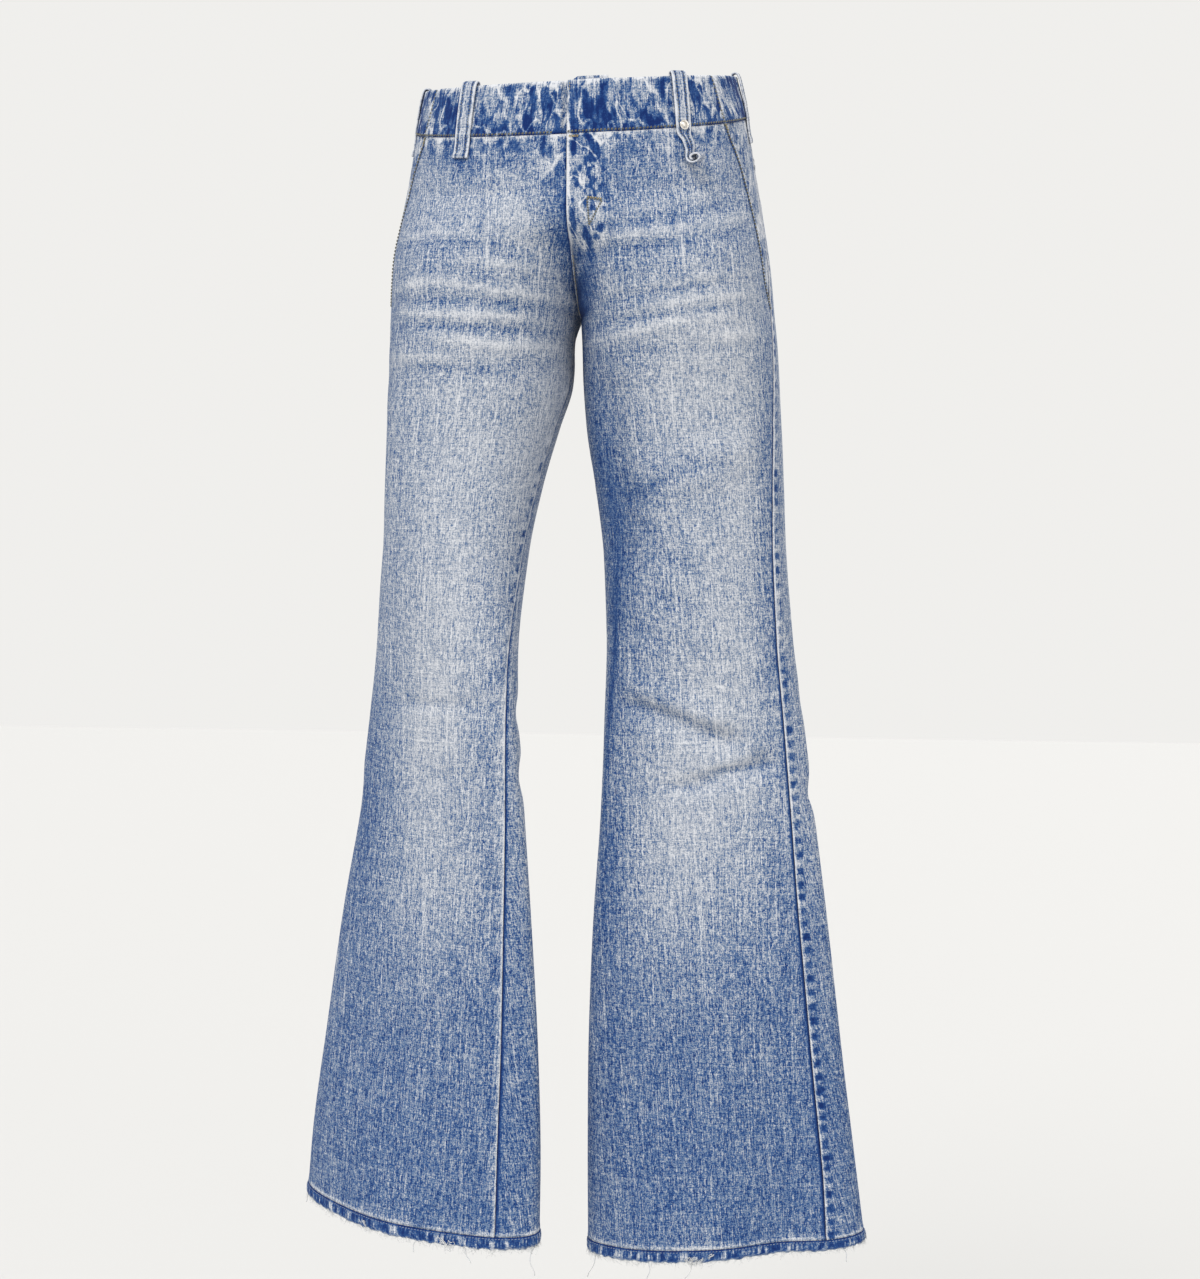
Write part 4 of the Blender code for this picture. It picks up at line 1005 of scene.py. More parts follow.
# %% Rows of places
POCKET_MOUTH = table(
    "drop  round",
    (0, -0.345), (36, -0.300), (74, -0.215), (102, -0.165),
    (130, -0.120), (152, -0.090), (174, -0.060), (196, 0.0),
)
POCKET_END_DROP = 196.0
YOKE_SIDE_DROP = 75.3
YOKE_BACK_DROP = 112.0
FLY_LIFT, FLY_WIDTH, FLY_EDGE = 1.3, 36.0, 12.0
FLY_LIFT_END, FLY_FADE_END = 110.0, 150.0
BAND_SEAM = WAISTBAND_HEIGHT + GAP
ROW_STEP = 2.1
FRONT_COLUMNS, BACK_COLUMNS = 44, 46


def pocket_round(drop):
    """Where the pocket mouth lies, between the front's inner edge and the outseam."""
    return smooth(np.minimum(drop, POCKET_END_DROP), POCKET_MOUTH["drop"], POCKET_MOUTH["round"])


def panel_rows(side, start=BAND_SEAM):
    """Even rows from a drop to the hem band, one of them at the crotch."""
    end = HEM_DROP[side] - HEM_HEIGHT - GAP
    upper = np.linspace(start, CROTCH_DROP, round((CROTCH_DROP - start) / ROW_STEP) + 1)
    lower = np.linspace(CROTCH_DROP, end, round((end - CROTCH_DROP) / ROW_STEP) + 1)
    return np.concatenate([upper, lower[1:]])[:, None]


def fly_lift(drop, from_middle):
    """How far the left front stands over the right one, near the middle."""
    across = 1 - ease(from_middle, FLY_WIDTH, FLY_WIDTH + FLY_EDGE)
    return FLY_LIFT * across * (1 - ease(drop, FLY_LIFT_END, FLY_FADE_END))


def ridge_above_hem(grid, side, across):
    """The hidden turned-up edge lifts the cloth above the hem, and it rubs pale there."""
    above = HEM_DROP[side] - HEM_HEIGHT - grid["drop"]
    broken = 0.75 + 0.45 * wander(across, 6.0, 80 + side)
    grid["wear"] += 0.46 * broken * np.exp(-((above - 1.5) / 1.9) ** 2)
    grid["wear"] += 0.10 * wander(across + 0.3 * above, 9.0, 82 + side) * np.exp(-above / 14.0)
    return 0.45 * np.exp(-((above - 1.8) / 2.2) ** 2)


print("pocket mouth ends", POCKET_END_DROP, "mm down, the yoke", YOKE_BACK_DROP, "mm down at the back")


# %% Fronts
RIGHT_DRAWN_IN = ((290.0, 330.0), (430.0, 480.0))


def inseam_ridge(grid, side, from_inner, seed):
    """The inseam's ridge below the crotch; the right one is drawn in at mid-thigh only."""
    drop = grid["drop"]
    leg = ease(drop, CROTCH_DROP - 2, CROTCH_DROP + 10)
    away = from_inner + OUT_OF_REACH * (1 - leg)
    edge_wear(grid, away, width=1.3, amount=0.55)
    starts, stops = RIGHT_DRAWN_IN
    drawn_in = 1.0 if side == LEFT else 0.12 + 0.88 * ease(drop, *starts) * (1 - ease(drop, *stops))
    return leg * seam_relief(grid, away, drop, seed, pitch=14.5, strength=drawn_in)


def pocket_edge(grid, from_outer, under_pocket):
    """The pocket mouth's pale folded edge, with the groove its stitches draw in."""
    edge_wear(grid, from_outer + OUT_OF_REACH * under_pocket, width=1.3, amount=0.45)
    groove = np.exp(-((from_outer - 3.2) / 1.6) ** 2) * (1 - under_pocket)
    grid["wear"] -= 0.42 * groove
    return -0.3 * groove


def gathered_top(grid, top, from_inner, seed):
    """The front's upper edge is gathered into the band, in streaks that soon fade out."""
    streaks = wander(from_inner + 0.35 * top, 5.0, seed) + 0.5 * wander(from_inner, 2.4, seed + 1)
    streaks = soft_block(streaks, 1.8)
    gathered = np.exp(-top / (9.0 + 5.0 * wander(from_inner, 11.0, seed + 2)))
    grid["pucker"] += 2.4 * streaks * gathered * ease(top, 0.5, 3.0)
    grid["wear"] -= 0.07 * np.exp(-((top - 10.0) / 12.0) ** 2)
    return 0.6 * streaks * gathered * ease(top, 0.0, 3.0)


def over_the_fly(grid, from_inner):
    """The left front stands over the right one, bunched, with a white folded edge."""
    drop, from_middle = grid["drop"], grid["body"][..., 0]
    fly = (1 - ease(from_middle, 24.0, 42.0)) * (1 - ease(drop, 136.0, 168.0))
    grid["marble"] += 1.15 * fly
    grid["wear"] -= 0.08 * fly
    edge_wear(grid, from_inner + OUT_OF_REACH * ease(drop, 168.0, 200.0), width=1.9, amount=0.95)
    return fly_lift(drop, from_middle)


def under_the_fly(grid, from_inner, top):
    """The right front slips under the left one; beside it the cloth stays blue, partly as painted shade in
    the valley there.
    """
    rise = 1 - ease(grid["drop"], CROTCH_DROP - 8, CROTCH_DROP)
    grid["marble"] += 0.25 * (1 - ease(from_inner, 10.0, 24.0)) * rise
    grid["marble"] += 0.55 * (1 - ease(from_inner, 14.0, 40.0)) * (1 - ease(top, 28.0, 60.0))
    return sunk_seam(grid, from_inner + OUT_OF_REACH * (1 - rise), dark=0.25)


def front(side):
    """One front, with its seams, pocket mouth, gathered top and side of the fly."""
    drops = panel_rows(side)
    share = graded(FRONT_COLUMNS, 0.25)
    last = np.where(drops < POCKET_END_DROP, pocket_round(drops), 0.0)
    below = drops >= CROTCH_DROP
    shifts = np.where(below, GAP / 2, 0.0) * (1 - share) - GAP / 2 * share
    grid = lay(grid_of(side, drops, -1 + (last + 1) * share, shifts))
    from_inner = run_lengths(grid["body"], 1)
    from_outer = from_inner[:, [-1]] - from_inner
    drop = grid["drop"]
    top = drop - drop[0]
    seed = 10 + side
    under_pocket = ease(drop, POCKET_END_DROP - 4, POCKET_END_DROP + 4)
    relief = sunk_seam(grid, from_outer + OUT_OF_REACH * (1 - under_pocket))
    relief = relief + inseam_ridge(grid, side, from_inner, seed)
    relief = relief + pocket_edge(grid, from_outer, under_pocket)
    relief = relief + gathered_top(grid, top, from_inner, seed + 8)
    under_the_band(grid, top)
    relief = relief + ridge_above_hem(grid, side, from_inner)
    if side == LEFT:
        relief = relief + over_the_fly(grid, from_inner)
    else:
        relief = relief + under_the_fly(grid, from_inner, top)
    piece = cloth(f"denim_front_{HANDS[side]}", grid, PANEL_FACES, LEG_DENIM, relief)
    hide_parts(f"front_{HANDS[side]}")
    return grid


fronts = {side: front(side) for side in (LEFT, RIGHT)}

# %% [markdown]
# ## Backs and yokes
#
# The yoke is the piece that shapes the seat: its seam falls from the outseam to the
# middle of the back, where the cloth is drawn in. The back carries on from it to the
# hem. A back has the same seams as a front and, as it is hidden in the photograph, no
# more than the pieces it must have.

# %% Backs
def back(side):
    """One back, with its long seams, its half of the rise and the yoke's seam above it."""
    share = graded(BACK_COLUMNS, 0.25)
    seam = YOKE_SIDE_DROP + (YOKE_BACK_DROP - YOKE_SIDE_DROP) * share
    rows = panel_rows(side, YOKE_SIDE_DROP)
    under = CROTCH_DROP - (CROTCH_DROP - rows) * (CROTCH_DROP - seam) / (CROTCH_DROP - YOKE_SIDE_DROP)
    drops = np.where(rows < CROTCH_DROP, under, rows)
    drops[0] += GAP
    below = drops >= CROTCH_DROP
    shifts = GAP / 2 * (1 - share) - np.where(below, GAP / 2, 0.0) * share
    grid = lay(grid_of(side, drops, share, shifts))
    from_outer = run_lengths(grid["body"], 1)
    from_inner = from_outer[:, [-1]] - from_outer
    drop = grid["drop"]
    seed = 30 + side
    relief = seam_relief(grid, from_outer, drop, seed, pitch=12.5)
    rise = 1 - ease(drop, CROTCH_DROP - 8, CROTCH_DROP)
    relief = relief + rise * seam_relief(grid, from_inner + OUT_OF_REACH * (1 - rise), drop, seed + 4)
    relief = relief + sunk_seam(grid, from_inner + OUT_OF_REACH * rise)
    under_yoke = run_lengths(grid["body"], 0)
    relief = relief + sunk_seam(grid, under_yoke)
    edge_wear(grid, from_outer, width=1.3, amount=0.55)
    edge_wear(grid, from_inner + OUT_OF_REACH * (1 - rise), width=1.2, amount=0.40)
    relief = relief + ridge_above_hem(grid, side, from_outer)
    piece = cloth(f"denim_back_{HANDS[side]}", grid, PANEL_FACES, LEG_DENIM, relief)
    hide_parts(f"back_{HANDS[side]}")
    return grid


backs = {side: back(side) for side in (LEFT, RIGHT)}


# %% Yokes
def yoke(side):
    """One yoke, from the waistband down to its slanting seam."""
    share = graded(BACK_COLUMNS + 20, 0.4)
    seam = YOKE_SIDE_DROP + (YOKE_BACK_DROP - YOKE_SIDE_DROP) * share
    down = np.linspace(0, 1, 30)[:, None]
    grid = lay(grid_of(side, BAND_SEAM + (seam - BAND_SEAM) * down, share, GAP / 2 * (1 - share)))
    from_outer = run_lengths(grid["body"], 1)
    from_inner = from_outer[:, [-1]] - from_outer
    from_top = run_lengths(grid["body"], 0)
    from_seam = from_top[[-1]] - from_top
    seed = 50 + side
    relief = seam_relief(grid, from_seam, from_outer, seed)
    relief = relief + seam_relief(grid, from_inner, grid["drop"], seed + 2)
    relief = relief + seam_relief(grid, from_outer, grid["drop"], seed + 4)
    streaks = soft_block(wander(from_outer + 0.35 * from_top, 5.5, seed + 8), 1.4)
    grid["pucker"] += 1.2 * streaks * np.exp(-from_top / 9.0)
    under_the_band(grid, from_top)
    edge_wear(grid, from_seam, width=1.1, amount=0.5)
    edge_wear(grid, from_outer, width=1.1, amount=0.5)
    piece = cloth(f"denim_yoke_{HANDS[side]}", grid, PANEL_FACES, LEG_DENIM, relief)
    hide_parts(f"yoke_{HANDS[side]}")
    return grid


yokes = {side: yoke(side) for side in (LEFT, RIGHT)}

# %% [markdown]
# ## Pocket facings
#
# The strip of cloth behind the slanted pocket mouth. It is sewn into the waistband and
# the outseam, and slips under the front's folded edge, where it carries a painted
# shadow. An old row of stitches has left a line of short blue marks on it.

# %% Pocket facings
FACING_TUCK, FACING_END_DROP, FACING_RISE, FACING_SINK = 15.0, 183.0, 0.12, 2.2
MARK_PITCH = 8.6


def pocket_facing(side):
    """One facing, which sinks as it slips under the front, with a painted shadow beside its edge."""
    drops = np.linspace(BAND_SEAM, FACING_END_DROP, 72)[:, None]
    mouth = pocket_round(drops)
    tucked = np.linspace(-FACING_TUCK, 0.0, 5)
    shown = np.linspace(0.0, 1.0, 22)[1:]
    rounds = mouth * np.concatenate([np.ones(5), 1 - shown])
    shifts = np.concatenate([tucked, -GAP / 2 * shown]) + 0 * drops
    grid = lay(grid_of(side, drops, rounds, shifts))
    strip = run_lengths(grid["body"], 1) - FACING_TUCK
    from_outer = strip[:, [-1]] - strip
    grid["lift"] += np.minimum(FACING_RISE * np.maximum(strip, 0.0), FACING_SINK) - FACING_SINK
    relief = sunk_seam(grid, from_outer)
    # Painted shadow: the facing is darkened where it slips under the front's folded edge.
    grid["wear"] += 0.08 - 0.30 * np.exp(-(strip / 2.0) ** 2)
    beat = 2 * math.pi * grid["drop"] / MARK_PITCH + wander(grid["drop"], 20.0, 70 + side)
    marks = ease(np.sin(beat), 0.1, 0.6)
    grid["wear"] -= 0.42 * marks * np.exp(-((strip - 8.0) / 1.6) ** 2)
    grid["marble"] += 0.7
    piece = cloth(f"denim_pocket_facing_{HANDS[side]}", grid, PANEL_FACES, LEG_DENIM, relief)
    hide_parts(f"pocket_facing_{HANDS[side]}")


for side in (LEFT, RIGHT):
    pocket_facing(side)

# %% [markdown]
# ## Waistband
#
# A straight strip folded double and sewn over the top of the jeans. Washing shrinks the
# thread more than the cloth, so the band stands in tight upright puckers, strongest near
# both its edges. Their crests rub almost white and their hollows stay dark. The left
# front laps over the right one, whose plain end runs on underneath. Some pieces cross
# the middle of the front or back, so their grids are laid on each side and joined.

# %% Pieces that cross the middle
GRID_VALUES = ("body", "out", "lift", "wear", "pucker", "marble", "drop", "map")


def joined(grids):
    """Grids set side by side as one piece of cloth, with one map across it."""
    whole = {name: np.concatenate([grid[name] for grid in grids], axis=1) for name in GRID_VALUES}
    across = run_lengths(whole["body"], 1)
    whole["map"] = np.stack([across - across[:, [-1]] / 2, -whole["drop"]], axis=-1)
    return whole


def across_middle(drops, across):
    """A grid measured from the middle of the front, with + to the wearer's left."""
    drops, across = np.broadcast_arrays(drops, across)
    left = lay(grid_of(LEFT, drops, -1.0, np.maximum(across, 0.0)))
    right = lay(grid_of(RIGHT, drops, -1.0, np.maximum(-across, 0.0)))
    on_left = across >= 0
    return {
        name: np.where(on_left[..., None] if left[name].ndim == 3 else on_left, left[name], right[name])
        for name in GRID_VALUES}


print("a joined piece keeps", ", ".join(GRID_VALUES))

# %% Waistband
BAND_ROWS = np.concatenate([
    np.linspace(0, 3, 5), np.linspace(4.2, 31.8, 20), np.linspace(33, WAISTBAND_HEIGHT, 5)])[:, None]
BAND_STEP = 1.9
# About how long each part is from end to end.
LEFT_LENGTH, RIGHT_LENGTH, BACK_HALF_LENGTH = 118, 112, 292
EDGE_ROUND = 2.4
UNDERLAP_LENGTH, UNDERLAP_SINK, UNDERLAP_RISE = 34.0, 3.3, 3.0


def folded_edge(away, roundness=0.9):
    """How far a folded edge turns in, from the distance to it."""
    near = np.clip(1 - away / EDGE_ROUND, 0.0, 1.0)
    return -roundness * (1 - np.sqrt(1 - 0.98 * near ** 2))


def pucker_band(grid, along, seed):
    """The band's puckers, strongest beside its stitches, with the wear they cause."""
    drop = grid["drop"]
    down = np.clip(drop, 0.0, WAISTBAND_HEIGHT)
    from_edge = np.minimum(down, WAISTBAND_HEIGHT - down)
    # Above and below, the puckers lean different ways, and they meet in between.
    upper = wander(along + 0.55 * down, 10.5, seed) + 0.6 * wander(along, 4.7, seed + 1)
    lower = wander(along - 0.45 * down, 9.0, seed + 2) + 0.6 * wander(along, 5.3, seed + 3)
    share = ease(down, 11.0, 25.0)
    waves = upper * (1 - share) + lower * share
    strength = 0.45 + 0.55 * np.exp(-np.abs(from_edge - 4.0) / 7.0)
    grid["pucker"] += 0.85 * soft_block(waves, 1.6) * strength
    grid["marble"] += 1.15
    grid["wear"] += -0.225 + 0.36 * np.exp(-(down / 2.0) ** 2)
    grid["wear"] -= 0.20 * np.exp(-((WAISTBAND_HEIGHT - down) / 1.6) ** 2)
    return 0.62 * waves * strength * ease(from_edge, 0.0, 3.0) + folded_edge(from_edge)


def band_columns(length):
    """Shares of a length, a step of the band apart."""
    return np.linspace(0, 1, round(length / BAND_STEP) + 1)


def finish_band(name, grid, relief):
    """Makes one part of the band from its laid grid."""
    piece = cloth(f"denim_{name}", grid, WAISTBAND_FACES, BAND_DENIM, relief)
    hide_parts(name)
    return grid


def waistband_left_front():
    """From the folded end at the middle to the left pocket."""
    share = band_columns(LEFT_LENGTH)
    rounds = -1 + (pocket_round(BAND_ROWS) + 1) * share
    grid = lay(grid_of(LEFT, BAND_ROWS, rounds, -GAP / 2 * share))
    along = run_lengths(grid["body"], 1)
    relief = pucker_band(grid, along, 90) + folded_edge(along) + folded_edge(along[:, [-1]] - along)
    edge_wear(grid, along, width=2.4, amount=0.55)
    edge_wear(grid, along[:, [-1]] - along, amount=0.4)
    return finish_band("waistband_left_front", grid, relief + fly_lift(grid["drop"], grid["body"][..., 0]))


def waistband_right_front():
    """From the right pocket to the middle, then under the left side as the underlap."""
    share = band_columns(RIGHT_LENGTH)
    rounds = pocket_round(BAND_ROWS) + (-1 - pocket_round(BAND_ROWS)) * share
    outer_part = lay(grid_of(RIGHT, BAND_ROWS, rounds, -GAP / 2 * (1 - share) + 6.5 * share ** 4))
    step = across_middle(BAND_ROWS, -np.linspace(6.0, 1.5, 8))
    step["lift"] -= UNDERLAP_SINK * ease(np.linspace(6.0, 1.5, 8), 6.0, 1.5)
    lap = np.linspace(1.5, UNDERLAP_LENGTH, 20)
    rise = UNDERLAP_RISE * ease(lap, 1.5, 9.0) * (1 - BAND_ROWS / WAISTBAND_HEIGHT)
    under = across_middle(BAND_ROWS - rise, lap)
    under["lift"] -= UNDERLAP_SINK
    grid = joined([outer_part, step, under])
    along = run_lengths(grid["body"], 1)
    relief = pucker_band(grid, along, 94) + folded_edge(along) + folded_edge(along[:, [-1]] - along)
    relief = np.where(grid["lift"] < -2.0, 0.25 * relief, relief)
    edge_wear(grid, along, amount=0.4)
    edge_wear(grid, along[:, [-1]] - along, width=3.0, amount=0.5)
    return finish_band("waistband_right_front", grid, relief)


def waistband_back():
    """From pocket to pocket round the back, made of two halves joined in the middle."""
    halves = []
    for side in (LEFT, RIGHT):
        share = band_columns(BACK_HALF_LENGTH)
        rounds = pocket_round(BAND_ROWS) + (1 - pocket_round(BAND_ROWS)) * share
        halves.append(lay(grid_of(side, BAND_ROWS, rounds, GAP / 2 * (1 - share))))
    left, right = halves
    mirrored = {name: right[name][:, ::-1] for name in GRID_VALUES}
    grid = joined([{name: left[name][:, :-1] for name in GRID_VALUES}, mirrored])
    along = run_lengths(grid["body"], 1)
    relief = pucker_band(grid, along, 98) + folded_edge(along) + folded_edge(along[:, [-1]] - along)
    edge_wear(grid, along, amount=0.4)
    edge_wear(grid, along[:, [-1]] - along, amount=0.4)
    return finish_band("waistband_back", grid, relief)


bands = {"left": waistband_left_front(), "right": waistband_right_front(), "back": waistband_back()}

# %% [markdown]
# ## Fly shield
#
# A plain flap behind the zip. It shows only through the waist, and deepens a little
# towards its lower end, where the legs part.

# %% Fly shield
SHIELD_OUTLINE = table(
    "drop  right_reach left_reach  sink",
    (36.3, 20, 36, 0.0), (60, 19, 36, 0.0), (85, 17, 35, 0.3),
    (104, 14, 31, 1.0), (118, 9, 22, 1.8), (126, 4, 10, 2.4),
)
SHIELD_FACES = (-2.2, -3.4)


def fly_shield():
    """A flap of cloth that narrows downwards."""
    top, bottom = SHIELD_OUTLINE["drop"][[0, -1]]
    drops = np.linspace(top, bottom, 42)[:, None]
    right, left, sink = (np.interp(drops, SHIELD_OUTLINE["drop"], SHIELD_OUTLINE[name])
                         for name in ("right_reach", "left_reach", "sink"))
    grid = across_middle(drops, -right + (right + left) * np.linspace(0, 1, 28))
    grid["lift"] = grid["lift"] - sink
    along = run_lengths(grid["body"], 1)
    grid["map"] = np.stack([along, -grid["drop"]], axis=-1)
    edge_wear(grid, np.minimum(along, along[:, [-1]] - along), width=2.0, amount=0.4)
    piece = cloth("denim_fly_shield", grid, SHIELD_FACES, LEG_DENIM)
    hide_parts("fly_shield")


fly_shield()

# %% [markdown]
# ## Hems
#
# The hem is turned up in a narrow band and sewn all round. Its edge twists as it is
# sewn, so the band sets in slanting ropes. Their crests, and a finer ripple over them,
# rub pale, and their hollows stay blue. Its lowest edge is worn through to the yarn.

# %% Hems
HEM_STEP = 1.35
ROPES = {LEFT: 53, RIGHT: 51}


def roping(side, turn, down):
    """Ropes round the hem; whole numbers of waves, so that the ring closes."""
    seed = np.random.default_rng(40 + side)
    bend = sum(seed.uniform(0.5, 1.1) * np.sin(n * turn + seed.uniform(0, 6)) for n in (5, 9, 14, 23))
    strength = 0.72 + 0.28 * np.sin(17 * turn + 2.2 * np.sin(6 * turn))
    return strength * np.sin(ROPES[side] * turn + 1.9 * bend + 1.1 * down)


def hem(side):
    """One hem: a ring of cloth round the leg's lower edge."""
    girth = run_lengths(body_point(side, HEM_DROP[side], np.linspace(-1, 1, 400))[None], 1)[0, -1]
    share = np.linspace(0, 1, round(girth / HEM_STEP) + 1)
    down = np.linspace(0, 1, 13)[:, None]
    drops = HEM_DROP[side] - HEM_HEIGHT * (1 - down)
    # The worn edge is never quite even.
    turn = 2 * math.pi * share
    uneven = 0.5 * np.sin(37 * turn + 2 * np.sin(11 * turn)) + 0.35 * np.sin(83 * turn + 3 * np.sin(7 * turn))
    drops = drops + (uneven - 0.4) * ease(down, 0.6, 1.0)
    grid = lay(grid_of(side, drops, -1 + 2 * share, 0.0))
    ropes = roping(side, turn, down)
    fine = np.sin((3 * ROPES[side] + 11) * turn + 2.0 * np.sin(31 * turn) + 2 * down)
    crests = ease(ropes, 0.25, 0.75) - 0.30 + 0.55 * ease(fine, 0.3, 0.9)
    grid["pucker"] += 2.0 * crests * np.sin(math.pi * np.clip(down, 0.12, 0.9))
    grid["marble"] += 0.25
    grid["wear"] += -0.14 - 0.30 * np.exp(-(down / 0.10) ** 2) + 0.46 * np.exp(-((1 - down) / 0.10) ** 2)
    edge = np.minimum(down, 1 - down) * HEM_HEIGHT
    relief = 0.75 * ropes * np.sin(math.pi * np.clip(0.15 + 0.8 * down, 0, 1)) + folded_edge(edge, 0.8)
    groove = -0.35 * np.exp(-((down - 0.14) / 0.05) ** 2)
    piece = cloth(f"denim_hem_{HANDS[side]}", grid, HEM_FACES, BAND_DENIM, relief + groove, ring=True)
    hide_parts(f"hem_{HANDS[side]}")
    return grid


hems = {side: hem(side) for side in (LEFT, RIGHT)}

# %% [markdown]
# ## Belt loops
#
# Five straps, each tucked in behind the waistband, turned over its top edge and sewn
# down below it. Two rows of stitches run near the edges, which rub white. The lower end
# of the left front loop has come away: it hangs from its rivet, folds narrower, bends
# aside and curls. The curl is turned about its far edge, so its open end looks forward.

# %% Belt loops
LOOP_WIDTH, LOOP_CLOTH = 15.0, 1.5
LOOP_PATH = table(
    "reach out",
    (9, -3.7), (1, -3.7), (-1.4, -3.4), (-2.9, -2.2), (-3.3, -0.6), (-2.8, 1.0), (-1.0, 2.4),
    (2, 3.0), (10, 3.2), (20, 3.0), (30, 2.5), (36.5, 2.2), (41, 1.5),
)
LOOP_END = table("reach out", (48, 1.3), (56, 1.3))
LOOSE_END = table("reach out", (49, 1.5), (63, 1.7))
CURL_CENTRE, CURL_RADIUS, CURL_TURN = (66.0, 7.6), (4.7, 1.9), (180.0, 590.0)
CURL_TWIST, CURL_HINGE, CURL_SWAY = math.radians(43), 1.7, 8.5
BEND_REACH, BEND_LENGTH = 38.0, 10.0
LOOPS = {
    "belt_loop_front_right": (RIGHT, -0.585, 0.03, 0.0, False),
    "belt_loop_front_left": (LEFT, -0.545, -0.03, 0.30, True),
    "belt_loop_side_right": (RIGHT, -0.02, 0.0, 0.0, False),
    "belt_loop_side_left": (LEFT, -0.02, 0.0, 0.0, False),
    "belt_loop_back": (LEFT, 1.0, 0.0, 0.0, False),
}


def curl():
    """The curled end: its reach and out, round a shrinking circle drawn out a little."""
    turn = np.radians(np.linspace(*CURL_TURN, 25))
    radius = np.linspace(*CURL_RADIUS, 25)
    return {"reach": CURL_CENTRE[0] - radius * np.sin(turn),
            "out": CURL_CENTRE[1] + 1.25 * radius * np.cos(turn)}


def loop_path(loose):
    """The strap's middle line, smoothed and with a point every 1.2 mm."""
    parts = [LOOP_PATH, LOOSE_END, curl()] if loose else [LOOP_PATH, LOOP_END]
    reach, out = (np.concatenate([part[name] for part in parts]) for name in ("reach", "out"))
    travelled = np.pad(np.cumsum(np.hypot(np.diff(reach), np.diff(out))), (1, 0))
    at = np.linspace(0, travelled[-1], round(travelled[-1] / 1.2) + 1)
    return smooth(at, travelled, reach), smooth(at, travelled, out), at


def loop_points(side, part_round, drop, out, shift):
    """Places on the cloth; on the middle of the back the two sides share them."""
    if part_round < 1.0:
        points = body_point(side, drop, part_round, shift)
        return points + outward(side, drop, part_round, shift) * (fold_height(side, points) + out)[..., None]
    halves = []
    for half, shifts in ((LEFT, np.minimum(-shift, 0.0)), (RIGHT, np.minimum(shift, 0.0))):
        points = body_point(half, drop, 1.0, shifts)
        height = fold_height(half, points) + out
        halves.append(points + outward(half, drop, 1.0, shifts) * height[..., None])
    left_share = ease(shift, -1.0, 1.0)[..., None]
    return halves[0] * left_share + halves[1] * (1 - left_share)


def turn_curl(across, out, left):
    """Turns the curl about its far edge and moves it aside, from what is left of the strap."""
    turned = 1 - ease(left, 24.0, 39.0)
    twist = turned * CURL_TWIST
    from_far, from_hinge = across[:, [-1]] - across, out - CURL_HINGE
    across = across[:, [-1]] - from_far * np.cos(twist) + from_hinge * np.sin(twist) - CURL_SWAY * turned
    return across, CURL_HINGE + from_far * np.sin(twist) + from_hinge * np.cos(twist)


def facing_out(centre, side, part_round):
    """Directions out of the strap, which look away from the body where it lies flat."""
    normal = np.cross(np.gradient(centre, axis=0), np.gradient(centre, axis=1))
    normal = normal / np.linalg.norm(normal, axis=-1, keepdims=True)
    rows, columns = normal.shape[:2]
    ahead = outward(side, 20.0, part_round)
    return normal * np.sign(normal[rows // 2, columns // 2] @ ahead)


def loop_wear(from_edge, from_end, loose):
    """Pale edges and ends, with a blue groove along each row of stitches."""
    pale = 0.50 * np.exp(-(from_edge / 1.5) ** 2) + 0.30 * np.exp(-(from_end / 2.0) ** 2)
    turned_under = 0.25 * np.exp(-((from_end - 5.0) / 0.9) ** 2) * (not loose)
    groove = 0.48 * np.exp(-((from_edge - 3.3) / 0.9) ** 2)
    return 0.60 + pale + turned_under - groove


def belt_loop(name, side, part_round, slant, bend, loose):
    """One strap: its middle line is placed on the body, and its width runs aside."""
    reach, out, along = (values[:, None] for values in loop_path(loose))
    past = np.maximum(reach - BEND_REACH, 0.0)
    left = along[-1] - along
    # Below its rivet the loose strap has folded narrower.
    narrow = 0.3 * loose * ease(past, 0.0, 9.0) * ease(left, 24.0, 34.0)
    flat_across = np.linspace(-0.5, 0.5, 21) * (LOOP_WIDTH - 1.6 * loose) * (1 - narrow)
    across = flat_across
    if loose:
        across, out = turn_curl(across, out, left)
    tilt = np.arctan(slant + bend * ease(past, 0.0, BEND_LENGTH))
    shift = slant * np.minimum(reach, BEND_REACH) + past * np.sin(tilt) + across * np.cos(tilt)
    drop = np.where(past > 0, BEND_REACH + past * np.cos(tilt), reach) - across * np.sin(tilt)
    centre = loop_points(side, part_round, drop, out + 0 * drop, shift)
    from_edge = flat_across[:, [-1]] - np.abs(flat_across) + 0 * along
    from_end = left + 0 * flat_across
    seed = 120 + len(name) + side
    waves = wander(along + 0.6 * np.abs(flat_across), 5.0, seed) * np.exp(-np.abs(from_edge - 2.0) / 2.2)
    grid = {
        "body": centre, "out": facing_out(centre, side, part_round), "lift": np.zeros(drop.shape),
        "drop": drop, "wear": loop_wear(from_edge, from_end, loose),
        "pucker": 0.7 * waves, "marble": np.full(drop.shape, 0.25),
        "map": np.stack([flat_across + 0 * along, -(along + 0 * flat_across)], axis=-1),
    }
    grooves = -0.28 * np.exp(-((from_edge - 3.0) / 0.6) ** 2)
    turned_under = 0.0 if loose else 0.7 * (1 - ease(from_end, 4.5, 5.5))
    relief = 0.22 * waves + grooves + turned_under + folded_edge(np.minimum(from_edge, from_end), 0.6)
    piece = cloth(f"denim_{name}", grid, (LOOP_CLOTH / 2, -LOOP_CLOTH / 2), BAND_DENIM, relief)
    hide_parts(name)
    return grid


loops = {name: belt_loop(name, *placing) for name, placing in LOOPS.items()}

